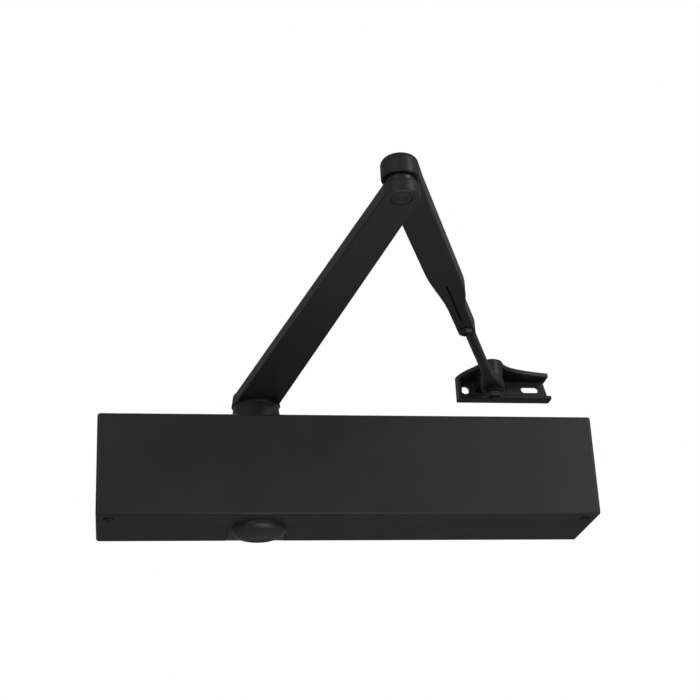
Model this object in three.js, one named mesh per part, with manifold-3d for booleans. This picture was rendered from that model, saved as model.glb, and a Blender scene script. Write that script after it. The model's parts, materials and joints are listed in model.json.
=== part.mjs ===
// Surface door closer: rack-and-pinion hydraulic body under a folded cover, with a regular two-piece arm.
// Millimetres. +X runs along the body towards the shoe, +Y points into the door, +Z is up.
// The origin is the centre of the casting's flat back, which bears on the door.

import * as THREE from 'three';
import { mergeVertices } from 'three/addons/utils/BufferGeometryUtils.js';
import Module from 'manifold-3d';

const wasm = await Module();
wasm.setup();

// ---------------------------------------------------------------- clearances

const RUN = 0.3; // radial or face gap wherever one piece touches or runs in another
const SNUG = 0.15; // gap round a piece that is gripped, such as a seal or a clip
const LARGE_ROUND = 24; // sides of a large circle, such as the bore
const ROUND = 20; // sides of a middling circle, such as a bearing
const SMALL_ROUND = 10; // sides of a small circle, such as a screw
const OVER = 1; // how far a cutting solid runs past the face it cuts

// ---------------------------------------------------------------- driving sizes

const bore = { radius: 19, wall: 6, backGap: 3 };
const gear = { module: 1.5, teeth: 12, pressure: 25, halfHeight: 14, backlash: 0.12 };
const gearNeck = { step: 0.1, inset: 0.9 };
const spindle = { x: -56, radius: 8.2, cornerGap: 0.2, opening: 170, squareInset: 1.5 };
const boss = { shelf: 0.5, toothGap: 1, bearingStep: 1.5, towerWall: 4.5, bearingHeight: 6, glandDepth: 4 };
const casting = { length: 272, earLength: 14, earThickness: 6, earHalfHeight: 26, waistInset: 18 };
const earHoles = { spacing: 19, edge: 6.5, radius: 3.5, bracketExtra: 0.7 };
const backPad = { halfHeight: 19, thickness: 10, reliefDepth: 1.5, land: 15, edge: 6 };
const rib = { size: 13.5, proud: 3.4, holeDepth: 30, endInset: 6 };
const piston = { head: 9.5, tail: 30.5, springPocket: 16, pocketWall: 1.35, oilway: 3.2, slotRoom: 1 };
const pistonRing = { width: 2.5, depth: 1.6, inset: 3 };
const checkValve = { radius: 2.9, headRadius: 4.6, headHeight: 1.2, bore: 1 };
const stopGap = 1.8; // free run between the piston and its left stop
const cap = { length: 12, sealWidth: 2.5, step: 2, hex: 14, hexDepth: 6, stopInner: 11, stopOuter: 15 };
const spring = { wire: 5.5, sideGap: 1, turns: 12, closedTurns: 1.2 };
const adjuster = { radius: 3.7, acrossFlats: 10, headLength: 5.5, collar: 7, collarLength: 2.2, spare: 21 };
const seat = { length: 8, pilot: 5, pilotGap: 1, inset: 20 };
const gland = { step: 0.5, flangeHeight: 3, sealHeight: 2.4, wall: 1.2 };
const valve = { radius: 3.1, length: 22, tip: 6, tipRadius: 0.8, standOut: 1.5, slot: 0.8, slotDepth: 1.2 };
const valveSeal = { inset: 6.5, width: 1.6, groove: 1.2 };

const cover = { wall: 1.6, frontGap: 2.4, bossGap: 1.4, endGap: 3.9, doorGap: 0.5, bend: 1.2, notchGap: 0.5 };
const bracket = { sheet: 2, width: 13.5, frontGap: 3.1, sideGap: 2.4, screwInset: 6, screwFromFront: 10 };
const coverScrew = { radius: 1.9, headRadius: 3.5, headHeight: 1.1, length: 6.5 };
const footScrew = { radius: 2, headRadius: 3.6, headHeight: 2.2, length: 7, spacing: 40 };
const pinionCap = { inset: 0.5, endRadius: 8.6, rim: 3.2, dome: 6.3, wall: 1.8, squareRoom: 4.3, steps: 5 };
const capTongue = { sideGap: 0.3, backGap: 0.5 };
const crossSlot = { half: 0.4, reach: 0.55, depth: 0.9 };

const arm = { length: 280, angle: -80.7, thickness: 7.5, rootWidth: 28.5, tipRadius: 9.3, edge: 1.2 };
const hub = { radius: 16, height: 13.5, gap: 1.7, edge: 1 };
const armScrew = { radius: 3.3, head: 13, headHeight: 4.6, washerRadius: 11, washerHeight: 1.8, depth: 14 };
const elbow = { pinRadius: 4, headRadius: 5.2, headHeight: 2.4, sunk: 0.2 };
const elbowWasher = { radius: 7.2, height: 2.8 };
const elbowClip = { radius: 7, height: 1, pinAbove: 0.8, recess: 2.4 };
const forearm = { radius: 9.4, halfWidth: 8.9, noseHalfWidth: 5.1, length: 199, height: 11.5, crown: 4 };
const shoulder = { round: 14, near: 106, far: 130, nose: 163 };
const ease = { near: 20, nearNose: 24, far: 16, farNose: 14 };
const seam = { width: 1.8, depth: 2.6, start: 124, end: 176 };
const rod = { radius: 3.25, start: 108, spare: 24, rise: 0.2, neck: 30, neckEase: 12 };
const rodEye = { radius: 7.8, height: 7, flat: 2 };
const clampScrew = { radius: 2.4, head: 7, headHeight: 2.6, setback: 11, socket: 3, socketDepth: 1.8 };

const shoe = {
  pivotX: 101, standOff: 28, left: -18.5, right: 45.5,
  height: 17.5, plate: 3.2, flange: 3, taper: 4,
};
const shoeLip = { thickness: 2.6, depth: 9, endWall: 2.4 };
const bell = { leftLand: 4, rightLand: 12, rightInset: 2, waist: 18, noseTurn: 1.93 };
const shoeBoss = { radius: 6.8, height: 9, tipRadius: 7.7, flare: 0.7 };
const gusset = { thickness: 2.6, setOff: 5, rise: 1.5 };
const shoeHole = { x: -12.5, radius: 3, height: 8.4 };
const shoeSlot = { x: 32.5, half: 3.8, radius: 2.4, height: 9 };
const shoePin = { radius: 3.6, headRadius: 6, headHeight: 0.8, tail: 0.8 };
const shoeWasher = { radius: 6.6, height: 1 };
const shoeNut = { acrossFlats: 10, height: 4 };

// ---------------------------------------------------------------- places worked out from them

const DEG = Math.PI / 180;
const tubeRadius = bore.radius + bore.wall;
const axisY = -(tubeRadius + bore.backGap);
const halfBody = casting.length / 2;
const pitchRadius = (gear.module * gear.teeth) / 2;
const tipRadius = pitchRadius + gear.module;
const dedendum = 1.25 * gear.module;
const spindleSquare = spindle.radius * Math.SQRT2 - spindle.cornerGap;
const ledgeRadius = tipRadius + boss.toothGap;
const bearingRadius = ledgeRadius + boss.bearingStep;
const bossRadius = bearingRadius + boss.towerWall;
const glandSealRadius = bearingRadius - 2 * RUN - gland.wall;
const bearingBase = bore.radius + boss.shelf;
const bossTop = bearingBase + boss.bearingHeight + boss.glandDepth;
const coverHalfHeight = bossTop + cover.bossGap + cover.wall;
const earEnd = halfBody + casting.earLength;
const coverHalfLength = earEnd + cover.endGap + cover.wall;
const coverFront = axisY - tubeRadius - cover.frontGap - cover.wall;
const innerHalfHeight = coverHalfHeight - cover.wall;
const innerHalfLength = coverHalfLength - cover.wall;
const earHoleX = earEnd - earHoles.edge;
const stroke = pitchRadius * spindle.opening * DEG;
const slotLeft = spindle.x - stroke - tipRadius - piston.slotRoom;
const slotRight = spindle.x + tipRadius + piston.slotRoom;
const pistonLeft = slotLeft - piston.head;
const pistonRight = slotRight + piston.tail;
const pistonRadius = bore.radius - RUN;
const pocketRadius = pistonRadius - piston.pocketWall;
const springRadius = pocketRadius - spring.sideGap - spring.wire / 2;
const capRadius = bore.radius + cap.step;
const capInner = halfBody - cap.length;
const seatRight = capInner - cap.sealWidth - seat.inset;
const seatLeft = seatRight - seat.length;
const springLeft = pistonRight - piston.springPocket + RUN;
const springRight = seatLeft - RUN;
const glandTop = bossTop + RUN + gland.flangeHeight;
const hubBottom = glandTop + hub.gap;
const armBottom = hubBottom + hub.height;
const armTop = armBottom + arm.thickness;
const forearmBottom = armTop + RUN + elbowWasher.height + RUN;
const forearmTop = forearmBottom + forearm.height;
const elbowSeat = forearmTop - elbowClip.recess;
const rodZ = forearmBottom + forearm.height / 2 + rod.rise;
const elbowX = spindle.x + arm.length * Math.cos(arm.angle * DEG);
const elbowY = axisY + arm.length * Math.sin(arm.angle * DEG);
const pivotY = -shoe.standOff;
const reach = Math.hypot(shoe.pivotX - elbowX, pivotY - elbowY);
const forearmAngle = Math.atan2(pivotY - elbowY, shoe.pivotX - elbowX);
const eyeTop = rodZ + rodEye.height / 2;
const eyeBottom = rodZ - rodEye.height / 2;
const flangeBottom = eyeTop + RUN + shoeBoss.height;
const shoeTop = flangeBottom + shoe.flange;
const shoeBottom = shoeTop - shoe.height;
const ribCentreY = axisY - tubeRadius + rib.size / 2;
const ribCentreZ = tubeRadius + rib.proud - rib.size / 2;
const ribEnd = halfBody - rib.endInset;
const ribHole = valve.radius + RUN;

// ---------------------------------------------------------------- materials

function metal(color, roughness, metalness = 0.9) {
  return new THREE.MeshStandardMaterial({ color, roughness, metalness });
}

const satinBlack = metal(0x161617, 0.5, 0.25);
const castGrey = metal(0x3a3d40, 0.7, 0.6);
const steel = metal(0x9a9da0, 0.35);
const springSteel = metal(0x4a4d52, 0.45);
const brass = metal(0xb08d4f, 0.4);
const rubber = metal(0x101010, 0.85, 0);
const capPlastic = metal(0x121213, 0.35, 0);

// ---------------------------------------------------------------- solids

function toSolid(geometry) {
  const bare = geometry.clone();
  bare.deleteAttribute('normal');
  bare.deleteAttribute('uv');
  const merged = mergeVertices(bare, 1e-4);
  const vertProperties = new Float32Array(merged.attributes.position.array);
  const triVerts = new Uint32Array(merged.index.array);
  return new wasm.Manifold(new wasm.Mesh({ numProp: 3, vertProperties, triVerts }));
}

function toGeometry(solid) {
  const mesh = solid.getMesh();
  const geometry = new THREE.BufferGeometry();
  geometry.setAttribute('position', new THREE.BufferAttribute(new Float32Array(mesh.vertProperties), 3));
  geometry.setIndex(new THREE.BufferAttribute(new Uint32Array(mesh.triVerts), 1));
  geometry.computeVertexNormals();
  return geometry;
}

function join(first, ...rest) {
  return rest.reduce((sum, next) => sum.add(next), first);
}

function cut(first, ...rest) {
  return rest.reduce((left, next) => left.subtract(next), first);
}

function block(x0, x1, y0, y1, z0, z1) {
  const geometry = new THREE.BoxGeometry(x1 - x0, y1 - y0, z1 - z0);
  geometry.translate((x0 + x1) / 2, (y0 + y1) / 2, (z0 + z1) / 2);
  return toSolid(geometry);
}

// A solid of revolution. profile is [radius, height] pairs from the axis back to the axis, or a closed loop.
function turned(profile, sides = ROUND) {
  const points = profile.map(([radius, height]) => new THREE.Vector2(radius, height));
  const geometry = new THREE.LatheGeometry(points, sides);
  geometry.rotateX(Math.PI / 2);
  return toSolid(geometry);
}

function drum(radius, z0, z1, sides = ROUND) {
  return turned([[0, z0], [radius, z0], [radius, z1], [0, z1]], sides);
}

function ring(inner, outer, z0, z1, sides = ROUND) {
  return turned([[inner, z0], [outer, z0], [outer, z1], [inner, z1], [inner, z0]], sides);
}

function prism(shape, z0, z1, curveSegments = 12) {
  const geometry = new THREE.ExtrudeGeometry(shape, { depth: z1 - z0, bevelEnabled: false, curveSegments });
  geometry.translate(0, 0, z0);
  return toSolid(geometry);
}

// A prism whose top and bottom edges are rounded by edge.
function softPrism(shape, z0, z1, edge, steps = 2, curveSegments = 12) {
  const geometry = new THREE.ExtrudeGeometry(shape, {
    depth: z1 - z0 - 2 * edge,
    bevelThickness: edge,
    bevelSize: edge,
    bevelOffset: -edge,
    bevelSegments: steps,
    curveSegments,
  });
  geometry.translate(0, 0, z0 + edge);
  return toSolid(geometry);
}

function outline(points) {
  return new THREE.Shape(points.map(([x, y]) => new THREE.Vector2(x, y)));
}

function polygon(sides, acrossFlats) {
  const radius = acrossFlats / 2 / Math.cos(Math.PI / sides);
  const corners = [];
  for (let i = 0; i < sides; i += 1) {
    const angle = ((i + 0.5) * 2 * Math.PI) / sides;
    corners.push([radius * Math.cos(angle), radius * Math.sin(angle)]);
  }
  return outline(corners);
}

// Turns a solid made along +Z so that it runs along +X, then moves it to the bore's axis.
function alongX(solid) {
  return solid.rotate([0, 90, 0]).translate([0, axisY, 0]);
}

function atSpindle(solid) {
  return solid.translate([spindle.x, axisY, 0]);
}

function drilledY(x, z, radius, y0, y1) {
  return drum(radius, y0, y1, SMALL_ROUND).rotate([-90, 0, 0]).translate([x, 0, z]);
}

const closer = new THREE.Group();

function piece(name, solid, material, parent = closer) {
  const mesh = new THREE.Mesh(toGeometry(solid), material);
  mesh.name = name;
  parent.add(mesh);
}

// ---------------------------------------------------------------- body

function castingSolid() {
  const tube = alongX(drum(tubeRadius, -halfBody, halfBody, LARGE_ROUND));
  const earBack = -casting.earThickness - OVER;
  const { earThickness, earHalfHeight } = casting;
  const ears = block(-earEnd, earEnd, -earThickness, 0, -earHalfHeight, earHalfHeight);
  const waist = halfBody - casting.waistInset;
  const trims = [-1, 1].map((side) => {
    const z0 = side > 0 ? backPad.halfHeight : -earHalfHeight - OVER;
    const z1 = side > 0 ? earHalfHeight + OVER : -backPad.halfHeight;
    return block(-waist, waist, earBack, OVER, z0, z1);
  });
  const pad = block(-halfBody, halfBody, -backPad.thickness, 0, -backPad.halfHeight, backPad.halfHeight);
  const tower = atSpindle(drum(bossRadius, -bossTop, bossTop, LARGE_ROUND));
  const ribs = [-1, 1].map((side) => {
    const z = side * ribCentreZ;
    const y = ribCentreY;
    const half = rib.size / 2;
    return block(-ribEnd, ribEnd, y - half, y + half, z - half, z + half);
  });
  let body = join(cut(ears, ...trims), tube, pad, tower, ...ribs);
  body = cut(body, alongX(drum(bore.radius, -halfBody - OVER, halfBody + OVER, LARGE_ROUND)));
  for (const side of [-1, 1]) {
    const x0 = side > 0 ? capInner - cap.sealWidth : -halfBody - OVER;
    const x1 = side > 0 ? halfBody + OVER : -capInner + cap.sealWidth;
    body = cut(body, alongX(drum(capRadius + RUN, x0, x1, LARGE_ROUND)));
    const reliefStart = side > 0 ? backPad.land : -halfBody + backPad.land;
    const reliefEnd = side > 0 ? halfBody - backPad.land : -backPad.land;
    const reliefHalf = backPad.halfHeight - backPad.edge;
    body = cut(body, block(reliefStart, reliefEnd, -backPad.reliefDepth, OVER, -reliefHalf, reliefHalf));
    for (const up of [-1, 1]) {
      const z = (up * earHoles.spacing) / 2;
      body = cut(body, drilledY(side * earHoleX, z, earHoles.radius, earBack, OVER));
      const foot = (up * footScrew.spacing) / 2;
      body = cut(body, drilledY(side * earHoleX, foot, footScrew.radius + RUN, earBack, OVER));
    }
  }
  body = cut(body, atSpindle(drum(ledgeRadius, -bossTop - OVER, bossTop + OVER)));
  for (const side of [-1, 1]) {
    const z0 = side > 0 ? bearingBase : -bossTop - OVER;
    const z1 = side > 0 ? bossTop + OVER : -bearingBase;
    body = cut(body, atSpindle(drum(bearingRadius, z0, z1)));
  }
  for (const [endSide, up] of valvePlaces.map((place) => place.at)) {
    const x0 = endSide > 0 ? ribEnd - rib.holeDepth : -ribEnd - OVER;
    const x1 = endSide > 0 ? ribEnd + OVER : -ribEnd + rib.holeDepth;
    const hole = drum(ribHole, x0, x1, SMALL_ROUND).rotate([0, 90, 0]);
    body = cut(body, hole.translate([0, ribCentreY, up * ribCentreZ]));
  }
  return body;
}

// ---------------------------------------------------------------- valves

const valvePlaces = [
  { name: 'sweep_valve', at: [-1, -1] },
  { name: 'latch_valve', at: [-1, 1] },
  { name: 'backcheck_valve', at: [1, -1] },
];

// A regulating screw along +Z: needle tip inwards, seal groove, slotted head standing just proud of the rib.
function valveSolid() {
  const { radius, length, tip, standOut } = valve;
  const grooveTop = -valveSeal.inset;
  const grooveBottom = grooveTop - valveSeal.width - 2 * RUN;
  const grooveRadius = radius - valveSeal.groove;
  const chamfer = 0.4;
  const body = turned([
    [0, -length],
    [valve.tipRadius, -length],
    [radius - 2 * chamfer, -length + tip],
    [radius, -length + tip],
    [radius, grooveBottom],
    [grooveRadius, grooveBottom],
    [grooveRadius, grooveTop],
    [radius, grooveTop],
    [radius, standOut - chamfer],
    [radius - chamfer, standOut],
    [0, standOut],
  ], SMALL_ROUND);
  const half = valve.slot / 2;
  const slot = block(-radius - OVER, radius + OVER, -half, half, standOut - valve.slotDepth, standOut + OVER);
  return cut(body, slot);
}

function valveSealSolid() {
  const top = -valveSeal.inset - RUN;
  const inner = valve.radius - valveSeal.groove + SNUG;
  return ring(inner, ribHole - SNUG, top - valveSeal.width, top, SMALL_ROUND);
}

function addValves() {
  for (const { name, at: [endSide, up] } of valvePlaces) {
    const holder = new THREE.Group();
    holder.position.set(endSide * ribEnd, ribCentreY, up * ribCentreZ);
    holder.rotation.y = (endSide * Math.PI) / 2;
    closer.add(holder);
    piece(name, valveSolid(), brass, holder);
    piece(`${name}_seal`, valveSealSolid(), rubber, holder);
  }
}

// ---------------------------------------------------------------- end caps and power adjuster

function capSolid(hollow) {
  const chamfer = 1;
  const plug = turned([
    [0, 0],
    [capRadius, 0],
    [capRadius, cap.length - chamfer],
    [capRadius - chamfer, cap.length],
    [0, cap.length],
  ], LARGE_ROUND);
  if (hollow) {
    return cut(plug, drum(adjuster.radius + RUN, -OVER, cap.length + OVER, SMALL_ROUND));
  }
  const stopLength = capInner + pistonLeft - stopGap;
  const stop = ring(cap.stopInner, cap.stopOuter, -stopLength, OVER);
  const keyHole = prism(polygon(6, cap.hex), cap.length - cap.hexDepth, cap.length + OVER);
  return cut(join(plug, stop), keyHole);
}

function capSealSolid() {
  return ring(bore.radius + SNUG, capRadius, 0, cap.sealWidth - 2 * RUN, LARGE_ROUND);
}

function addCaps() {
  for (const [side, label] of [[-1, 'left'], [1, 'right']]) {
    const plug = capSolid(side > 0);
    const turn = side * 90;
    const place = (solid, offset) => solid.rotate([0, turn, 0]).translate([side * offset, axisY, 0]);
    piece(`end_cap_${label}`, place(plug, capInner + RUN), steel);
    piece(`end_cap_seal_${label}`, place(capSealSolid(), capInner - cap.sealWidth + RUN), rubber);
  }
}

function adjusterSolid() {
  const { radius, collar } = adjuster;
  const tip = seatLeft - adjuster.spare;
  const chamfer = 0.8;
  const collarStart = capInner - adjuster.collarLength;
  const headStart = halfBody + 2 * RUN;
  const shank = turned([
    [0, tip],
    [radius - chamfer, tip],
    [radius, tip + chamfer],
    [radius, collarStart],
    [collar, collarStart],
    [collar, capInner],
    [radius, capInner],
    [radius, headStart + OVER],
    [0, headStart + OVER],
  ], SMALL_ROUND);
  const head = prism(polygon(6, adjuster.acrossFlats), headStart, headStart + adjuster.headLength);
  return alongX(join(shank, head));
}

function seatSolid() {
  const inner = adjuster.radius + RUN;
  const pilot = springRadius - spring.wire / 2 - seat.pilotGap;
  return alongX(turned([
    [inner, seatLeft - seat.pilot],
    [pilot, seatLeft - seat.pilot],
    [pilot, seatLeft],
    [pistonRadius, seatLeft],
    [pistonRadius, seatRight],
    [inner, seatRight],
    [inner, seatLeft - seat.pilot],
  ], ROUND));
}

// ---------------------------------------------------------------- piston, rack and spring

// The slot through the piston: plain on the far side, rack teeth on the side nearer the room.
function rackSlotSolid() {
  const pitch = Math.PI * gear.module;
  const pitchLine = axisY - pitchRadius;
  const toothTop = pitchLine + gear.module;
  const root = pitchLine - dedendum;
  const lean = Math.tan(gear.pressure * DEG);
  const farSide = axisY + tipRadius + piston.slotRoom;
  const points = [[slotRight, farSide], [slotLeft, farSide], [slotLeft, toothTop]];
  const first = Math.ceil((slotLeft - spindle.x) / pitch + 0.5);
  const last = Math.floor((slotRight - spindle.x) / pitch - 0.5);
  const half = pitch / 4 + gear.backlash;
  for (let i = first; i <= last; i += 1) {
    const x = spindle.x + i * pitch;
    const mouth = half + gear.module * lean;
    const foot = half - dedendum * lean;
    points.push([x - mouth, toothTop], [x - foot, root], [x + foot, root], [x + mouth, toothTop]);
  }
  points.push([slotRight, toothTop]);
  return prism(outline(points), -bore.radius - OVER, bore.radius + OVER);
}

function pistonSolid() {
  const grooveStart = pistonLeft + pistonRing.inset;
  const grooveEnd = grooveStart + pistonRing.width + 2 * RUN;
  const grooveRadius = pistonRadius - pistonRing.depth;
  const chamfer = 0.6;
  const blank = turned([
    [0, pistonLeft],
    [pistonRadius - chamfer, pistonLeft],
    [pistonRadius, pistonLeft + chamfer],
    [pistonRadius, grooveStart],
    [grooveRadius, grooveStart],
    [grooveRadius, grooveEnd],
    [pistonRadius, grooveEnd],
    [pistonRadius, pistonRight],
    [0, pistonRight],
  ], LARGE_ROUND);
  const pocket = drum(pocketRadius, pistonRight - piston.springPocket, pistonRight + OVER);
  const oilway = drum(piston.oilway, pistonLeft - OVER, slotLeft + OVER, SMALL_ROUND);
  return cut(alongX(cut(blank, pocket, oilway)), rackSlotSolid());
}

function pistonRingSolid() {
  const start = pistonLeft + pistonRing.inset + RUN;
  const inner = pistonRadius - pistonRing.depth + SNUG;
  return alongX(ring(inner, bore.radius - SNUG, start, start + pistonRing.width, LARGE_ROUND));
}

function checkValveSolid() {
  const headFace = pistonLeft - checkValve.headHeight;
  const end = slotLeft - piston.slotRoom;
  const plug = turned([
    [0, headFace],
    [checkValve.headRadius, headFace],
    [checkValve.headRadius, pistonLeft - RUN],
    [checkValve.radius, pistonLeft - RUN],
    [checkValve.radius, end],
    [0, end],
  ], SMALL_ROUND);
  return alongX(cut(plug, drum(checkValve.bore, headFace - OVER, end + OVER, SMALL_ROUND)));
}

class SpringCurve extends THREE.Curve {
  getPoint(t, target = new THREE.Vector3()) {
    const { closedTurns } = spring;
    const turn = t * spring.turns;
    const closed = spring.wire * 1.02;
    const length = springRight - springLeft - spring.wire;
    const open = (length - 2 * closedTurns * closed) / (spring.turns - 2 * closedTurns);
    let along = turn * closed;
    if (turn > closedTurns) {
      along = closedTurns * closed + (Math.min(turn, spring.turns - closedTurns) - closedTurns) * open;
    }
    if (turn > spring.turns - closedTurns) {
      along += (turn - spring.turns + closedTurns) * closed;
    }
    const angle = turn * 2 * Math.PI;
    const x = springLeft + spring.wire / 2 + along;
    return target.set(x, axisY + springRadius * Math.cos(angle), springRadius * Math.sin(angle));
  }
}

function springSolid() {
  const section = new THREE.Shape();
  section.absarc(0, 0, spring.wire / 2, 0, 2 * Math.PI, false);
  const stepsPerTurn = 9;
  const geometry = new THREE.ExtrudeGeometry(section, {
    steps: spring.turns * stepsPerTurn,
    extrudePath: new SpringCurve(),
    curveSegments: 3,
  });
  return toSolid(geometry);
}

// ---------------------------------------------------------------- pinion stack

function pinionOutline() {
  const pressure = gear.pressure * DEG;
  const baseRadius = pitchRadius * Math.cos(pressure);
  const rootRadius = pitchRadius - dedendum;
  const involute = (angle) => Math.tan(angle) - angle;
  const halfTooth = Math.PI / (2 * gear.teeth) - gear.backlash / pitchRadius;
  const steps = 3;
  const points = [];
  for (let tooth = 0; tooth < gear.teeth; tooth += 1) {
    const middle = (tooth * 2 * Math.PI) / gear.teeth - Math.PI / 2;
    const flank = [];
    for (let i = 0; i <= steps; i += 1) {
      const radius = baseRadius + ((tipRadius - baseRadius) * i) / steps;
      const turn = halfTooth + involute(pressure) - involute(Math.acos(Math.min(1, baseRadius / radius)));
      flank.push([radius, turn]);
    }
    flank.unshift([rootRadius, flank[0][1]]);
    for (const [radius, turn] of flank) {
      points.push([radius * Math.cos(middle - turn), radius * Math.sin(middle - turn)]);
    }
    for (const [radius, turn] of flank.slice().reverse()) {
      points.push([radius * Math.cos(middle + turn), radius * Math.sin(middle + turn)]);
    }
  }
  return outline(points);
}

function pinionSolid() {
  const journal = bossTop + gland.flangeHeight;
  const squareTop = armTop - spindle.squareInset;
  const squareBottom = -(bossTop + pinionCap.rim + pinionCap.dome - pinionCap.squareRoom);
  const teeth = prism(pinionOutline(), -gear.halfHeight, gear.halfHeight);
  const neckRadius = pitchRadius - dedendum - gearNeck.step;
  const neck = pistonRadius - gearNeck.inset;
  const shaft = turned([
    [0, -journal],
    [spindle.radius, -journal],
    [spindle.radius, -neck],
    [neckRadius, -neck],
    [neckRadius, neck],
    [spindle.radius, neck],
    [spindle.radius, journal],
    [0, journal],
  ], ROUND);
  const upperEnd = prism(polygon(4, spindleSquare), neck, squareTop);
  const lowerEnd = prism(polygon(4, spindleSquare), squareBottom, -neck);
  const tapped = drum(armScrew.radius + RUN, squareTop - armScrew.depth, squareTop + OVER, SMALL_ROUND);
  return cut(join(teeth, shaft, upperEnd, lowerEnd), tapped);
}

function addPinionStack() {
  piece('pinion_shaft', atSpindle(pinionSolid()), steel);
  for (const [side, label] of [[-1, 'bottom'], [1, 'top']]) {
    const flip = (solid) => atSpindle(side > 0 ? solid : solid.rotate([180, 0, 0]));
    const bearingTop = bearingBase + boss.bearingHeight - RUN;
    const bearing = ring(spindle.radius + RUN, bearingRadius - RUN, bearingBase + RUN, bearingTop);
    piece(`pinion_bearing_${label}`, flip(bearing), steel);
    const sealBase = bearingTop + RUN;
    const seal = ring(spindle.radius + RUN, glandSealRadius, sealBase, sealBase + gland.sealHeight);
    piece(`pinion_seal_${label}`, flip(seal), rubber);
    piece(`gland_nut_${label}`, flip(glandSolid(sealBase)), steel);
  }
  piece('pinion_cap', atSpindle(pinionCapSolid()), capPlastic);
}

function glandSolid(base) {
  const inner = spindle.radius + RUN;
  const outer = bearingRadius - RUN;
  const seatRadius = glandSealRadius + RUN;
  const seatTop = base + gland.sealHeight + RUN;
  const bodyTop = glandTop - gland.step;
  const body = turned([
    [seatRadius, base],
    [outer, base],
    [outer, bodyTop],
    [inner, bodyTop],
    [inner, seatTop],
    [seatRadius, seatTop],
    [seatRadius, base],
  ]);
  const flange = prism(polygon(6, 2 * (bearingRadius - gland.step)), bossTop + RUN, glandTop);
  return join(body, cut(flange, drum(inner, bossTop, glandTop + OVER)));
}

function pinionCapProfile() {
  const rimTop = -(bossTop + RUN);
  const rimBottom = rimTop - pinionCap.rim;
  const end = rimBottom - pinionCap.dome;
  const outer = bossRadius - pinionCap.inset;
  const inner = outer - pinionCap.wall;
  const edge = 0.6;
  const dome = [];
  for (let i = 0; i <= pinionCap.steps; i += 1) {
    const angle = (Math.PI / 2) * (1 - i / pinionCap.steps);
    const radius = pinionCap.endRadius + (outer - pinionCap.endRadius) * Math.cos(angle);
    dome.push([radius, rimBottom - (pinionCap.dome - edge) * Math.sin(angle)]);
  }
  return [
    [0, end],
    [pinionCap.endRadius - edge, end],
    ...dome,
    [outer, rimTop],
    [inner, rimTop],
    [inner, rimBottom],
    [pinionCap.endRadius, end + pinionCap.wall],
    [0, end + pinionCap.wall],
  ];
}

// The cap with a flat tongue that closes the cover's slot behind it.
function pinionCapSolid() {
  const back = -axisY - cover.doorGap - capTongue.backGap;
  const half = bossRadius + cover.notchGap - capTongue.sideGap;
  const [low, high] = [-coverHalfHeight, -innerHalfHeight];
  const tongue = join(drum(half, low, high, LARGE_ROUND), block(-half, half, 0, back, low, high));
  const room = drum(bossRadius - pinionCap.inset - pinionCap.wall, -coverHalfHeight - OVER, 0, LARGE_ROUND);
  return join(turned(pinionCapProfile(), LARGE_ROUND), cut(tongue, room));
}

// ---------------------------------------------------------------- cover and its brackets

const coverScrewX = innerHalfLength - bracket.screwInset;
const coverScrewY = coverFront + bracket.screwFromFront;

function coverSolid() {
  const back = -cover.doorGap;
  const [x, z] = [coverHalfLength, coverHalfHeight];
  const face = outline([[-x, -z], [x, -z], [x, z], [-x, z]]);
  const depth = back - coverFront;
  const spare = 2 * cover.bend;
  const folded = softPrism(face, -depth, spare, cover.bend, 2).rotate([-90, 0, 0]).translate([0, back, 0]);
  const excess = block(-x - OVER, x + OVER, back, back + spare + OVER, -z - OVER, z + OVER);
  const front = coverFront + cover.wall;
  const room = block(-innerHalfLength, innerHalfLength, front, OVER, -innerHalfHeight, innerHalfHeight);
  const notchRadius = bossRadius + cover.notchGap;
  const throat = block(-notchRadius, notchRadius, 0, -axisY + OVER, -z - OVER, z + OVER);
  const slot = atSpindle(join(drum(notchRadius, -z - OVER, z + OVER, LARGE_ROUND), throat));
  let shell = cut(folded, excess, room, slot);
  for (const side of [-1, 1]) {
    const hole = drum(coverScrew.radius + RUN, -z - OVER, -innerHalfHeight + OVER, SMALL_ROUND);
    shell = cut(shell, hole.translate([side * coverScrewX, coverScrewY, 0]));
  }
  return shell;
}

function bracketSolid(side) {
  const back = -casting.earThickness - RUN;
  const top = innerHalfHeight - RUN;
  const foot = back - bracket.sheet;
  const tip = coverFront + cover.wall + bracket.frontGap;
  const x0 = innerHalfLength - bracket.sideGap - bracket.width;
  const x1 = x0 + bracket.width;
  const whole = block(x0, x1, tip, back, -top, top);
  const hollow = block(x0 - OVER, x1 + OVER, tip - OVER, foot, -top + bracket.sheet, top - bracket.sheet);
  let channel = cut(whole, hollow);
  const [inside, outside] = [foot - OVER, back + OVER];
  for (const up of [-1, 1]) {
    const ear = (up * earHoles.spacing) / 2;
    const fixing = (up * footScrew.spacing) / 2;
    channel = cut(channel, drilledY(earHoleX, ear, earHoles.radius + earHoles.bracketExtra, inside, outside));
    channel = cut(channel, drilledY(earHoleX, fixing, footScrew.radius + RUN, inside, outside));
  }
  const tapped = drum(coverScrew.radius + RUN, -top - OVER, -top + bracket.sheet + OVER, SMALL_ROUND);
  channel = cut(channel, tapped.translate([coverScrewX, coverScrewY, 0]));
  return side > 0 ? channel : channel.mirror([1, 0, 0]);
}

// A pan-head screw along +Z with its head below z = 0 and a cross recess.
function panScrew({ radius, headRadius, headHeight, length }) {
  const chamfer = 0.6;
  const body = turned([
    [0, -headHeight],
    [headRadius - 2 * chamfer, -headHeight],
    [headRadius, -headHeight + chamfer],
    [headRadius, 0],
    [radius, 0],
    [radius, length - chamfer],
    [radius - chamfer, length],
    [0, length],
  ], SMALL_ROUND);
  const wing = headRadius * crossSlot.reach;
  const { half } = crossSlot;
  const floor = -headHeight + crossSlot.depth;
  const along = block(-wing, wing, -half, half, -headHeight - OVER, floor);
  const across = block(-half, half, -wing, wing, -headHeight - OVER, floor);
  return cut(body, along, across);
}

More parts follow.
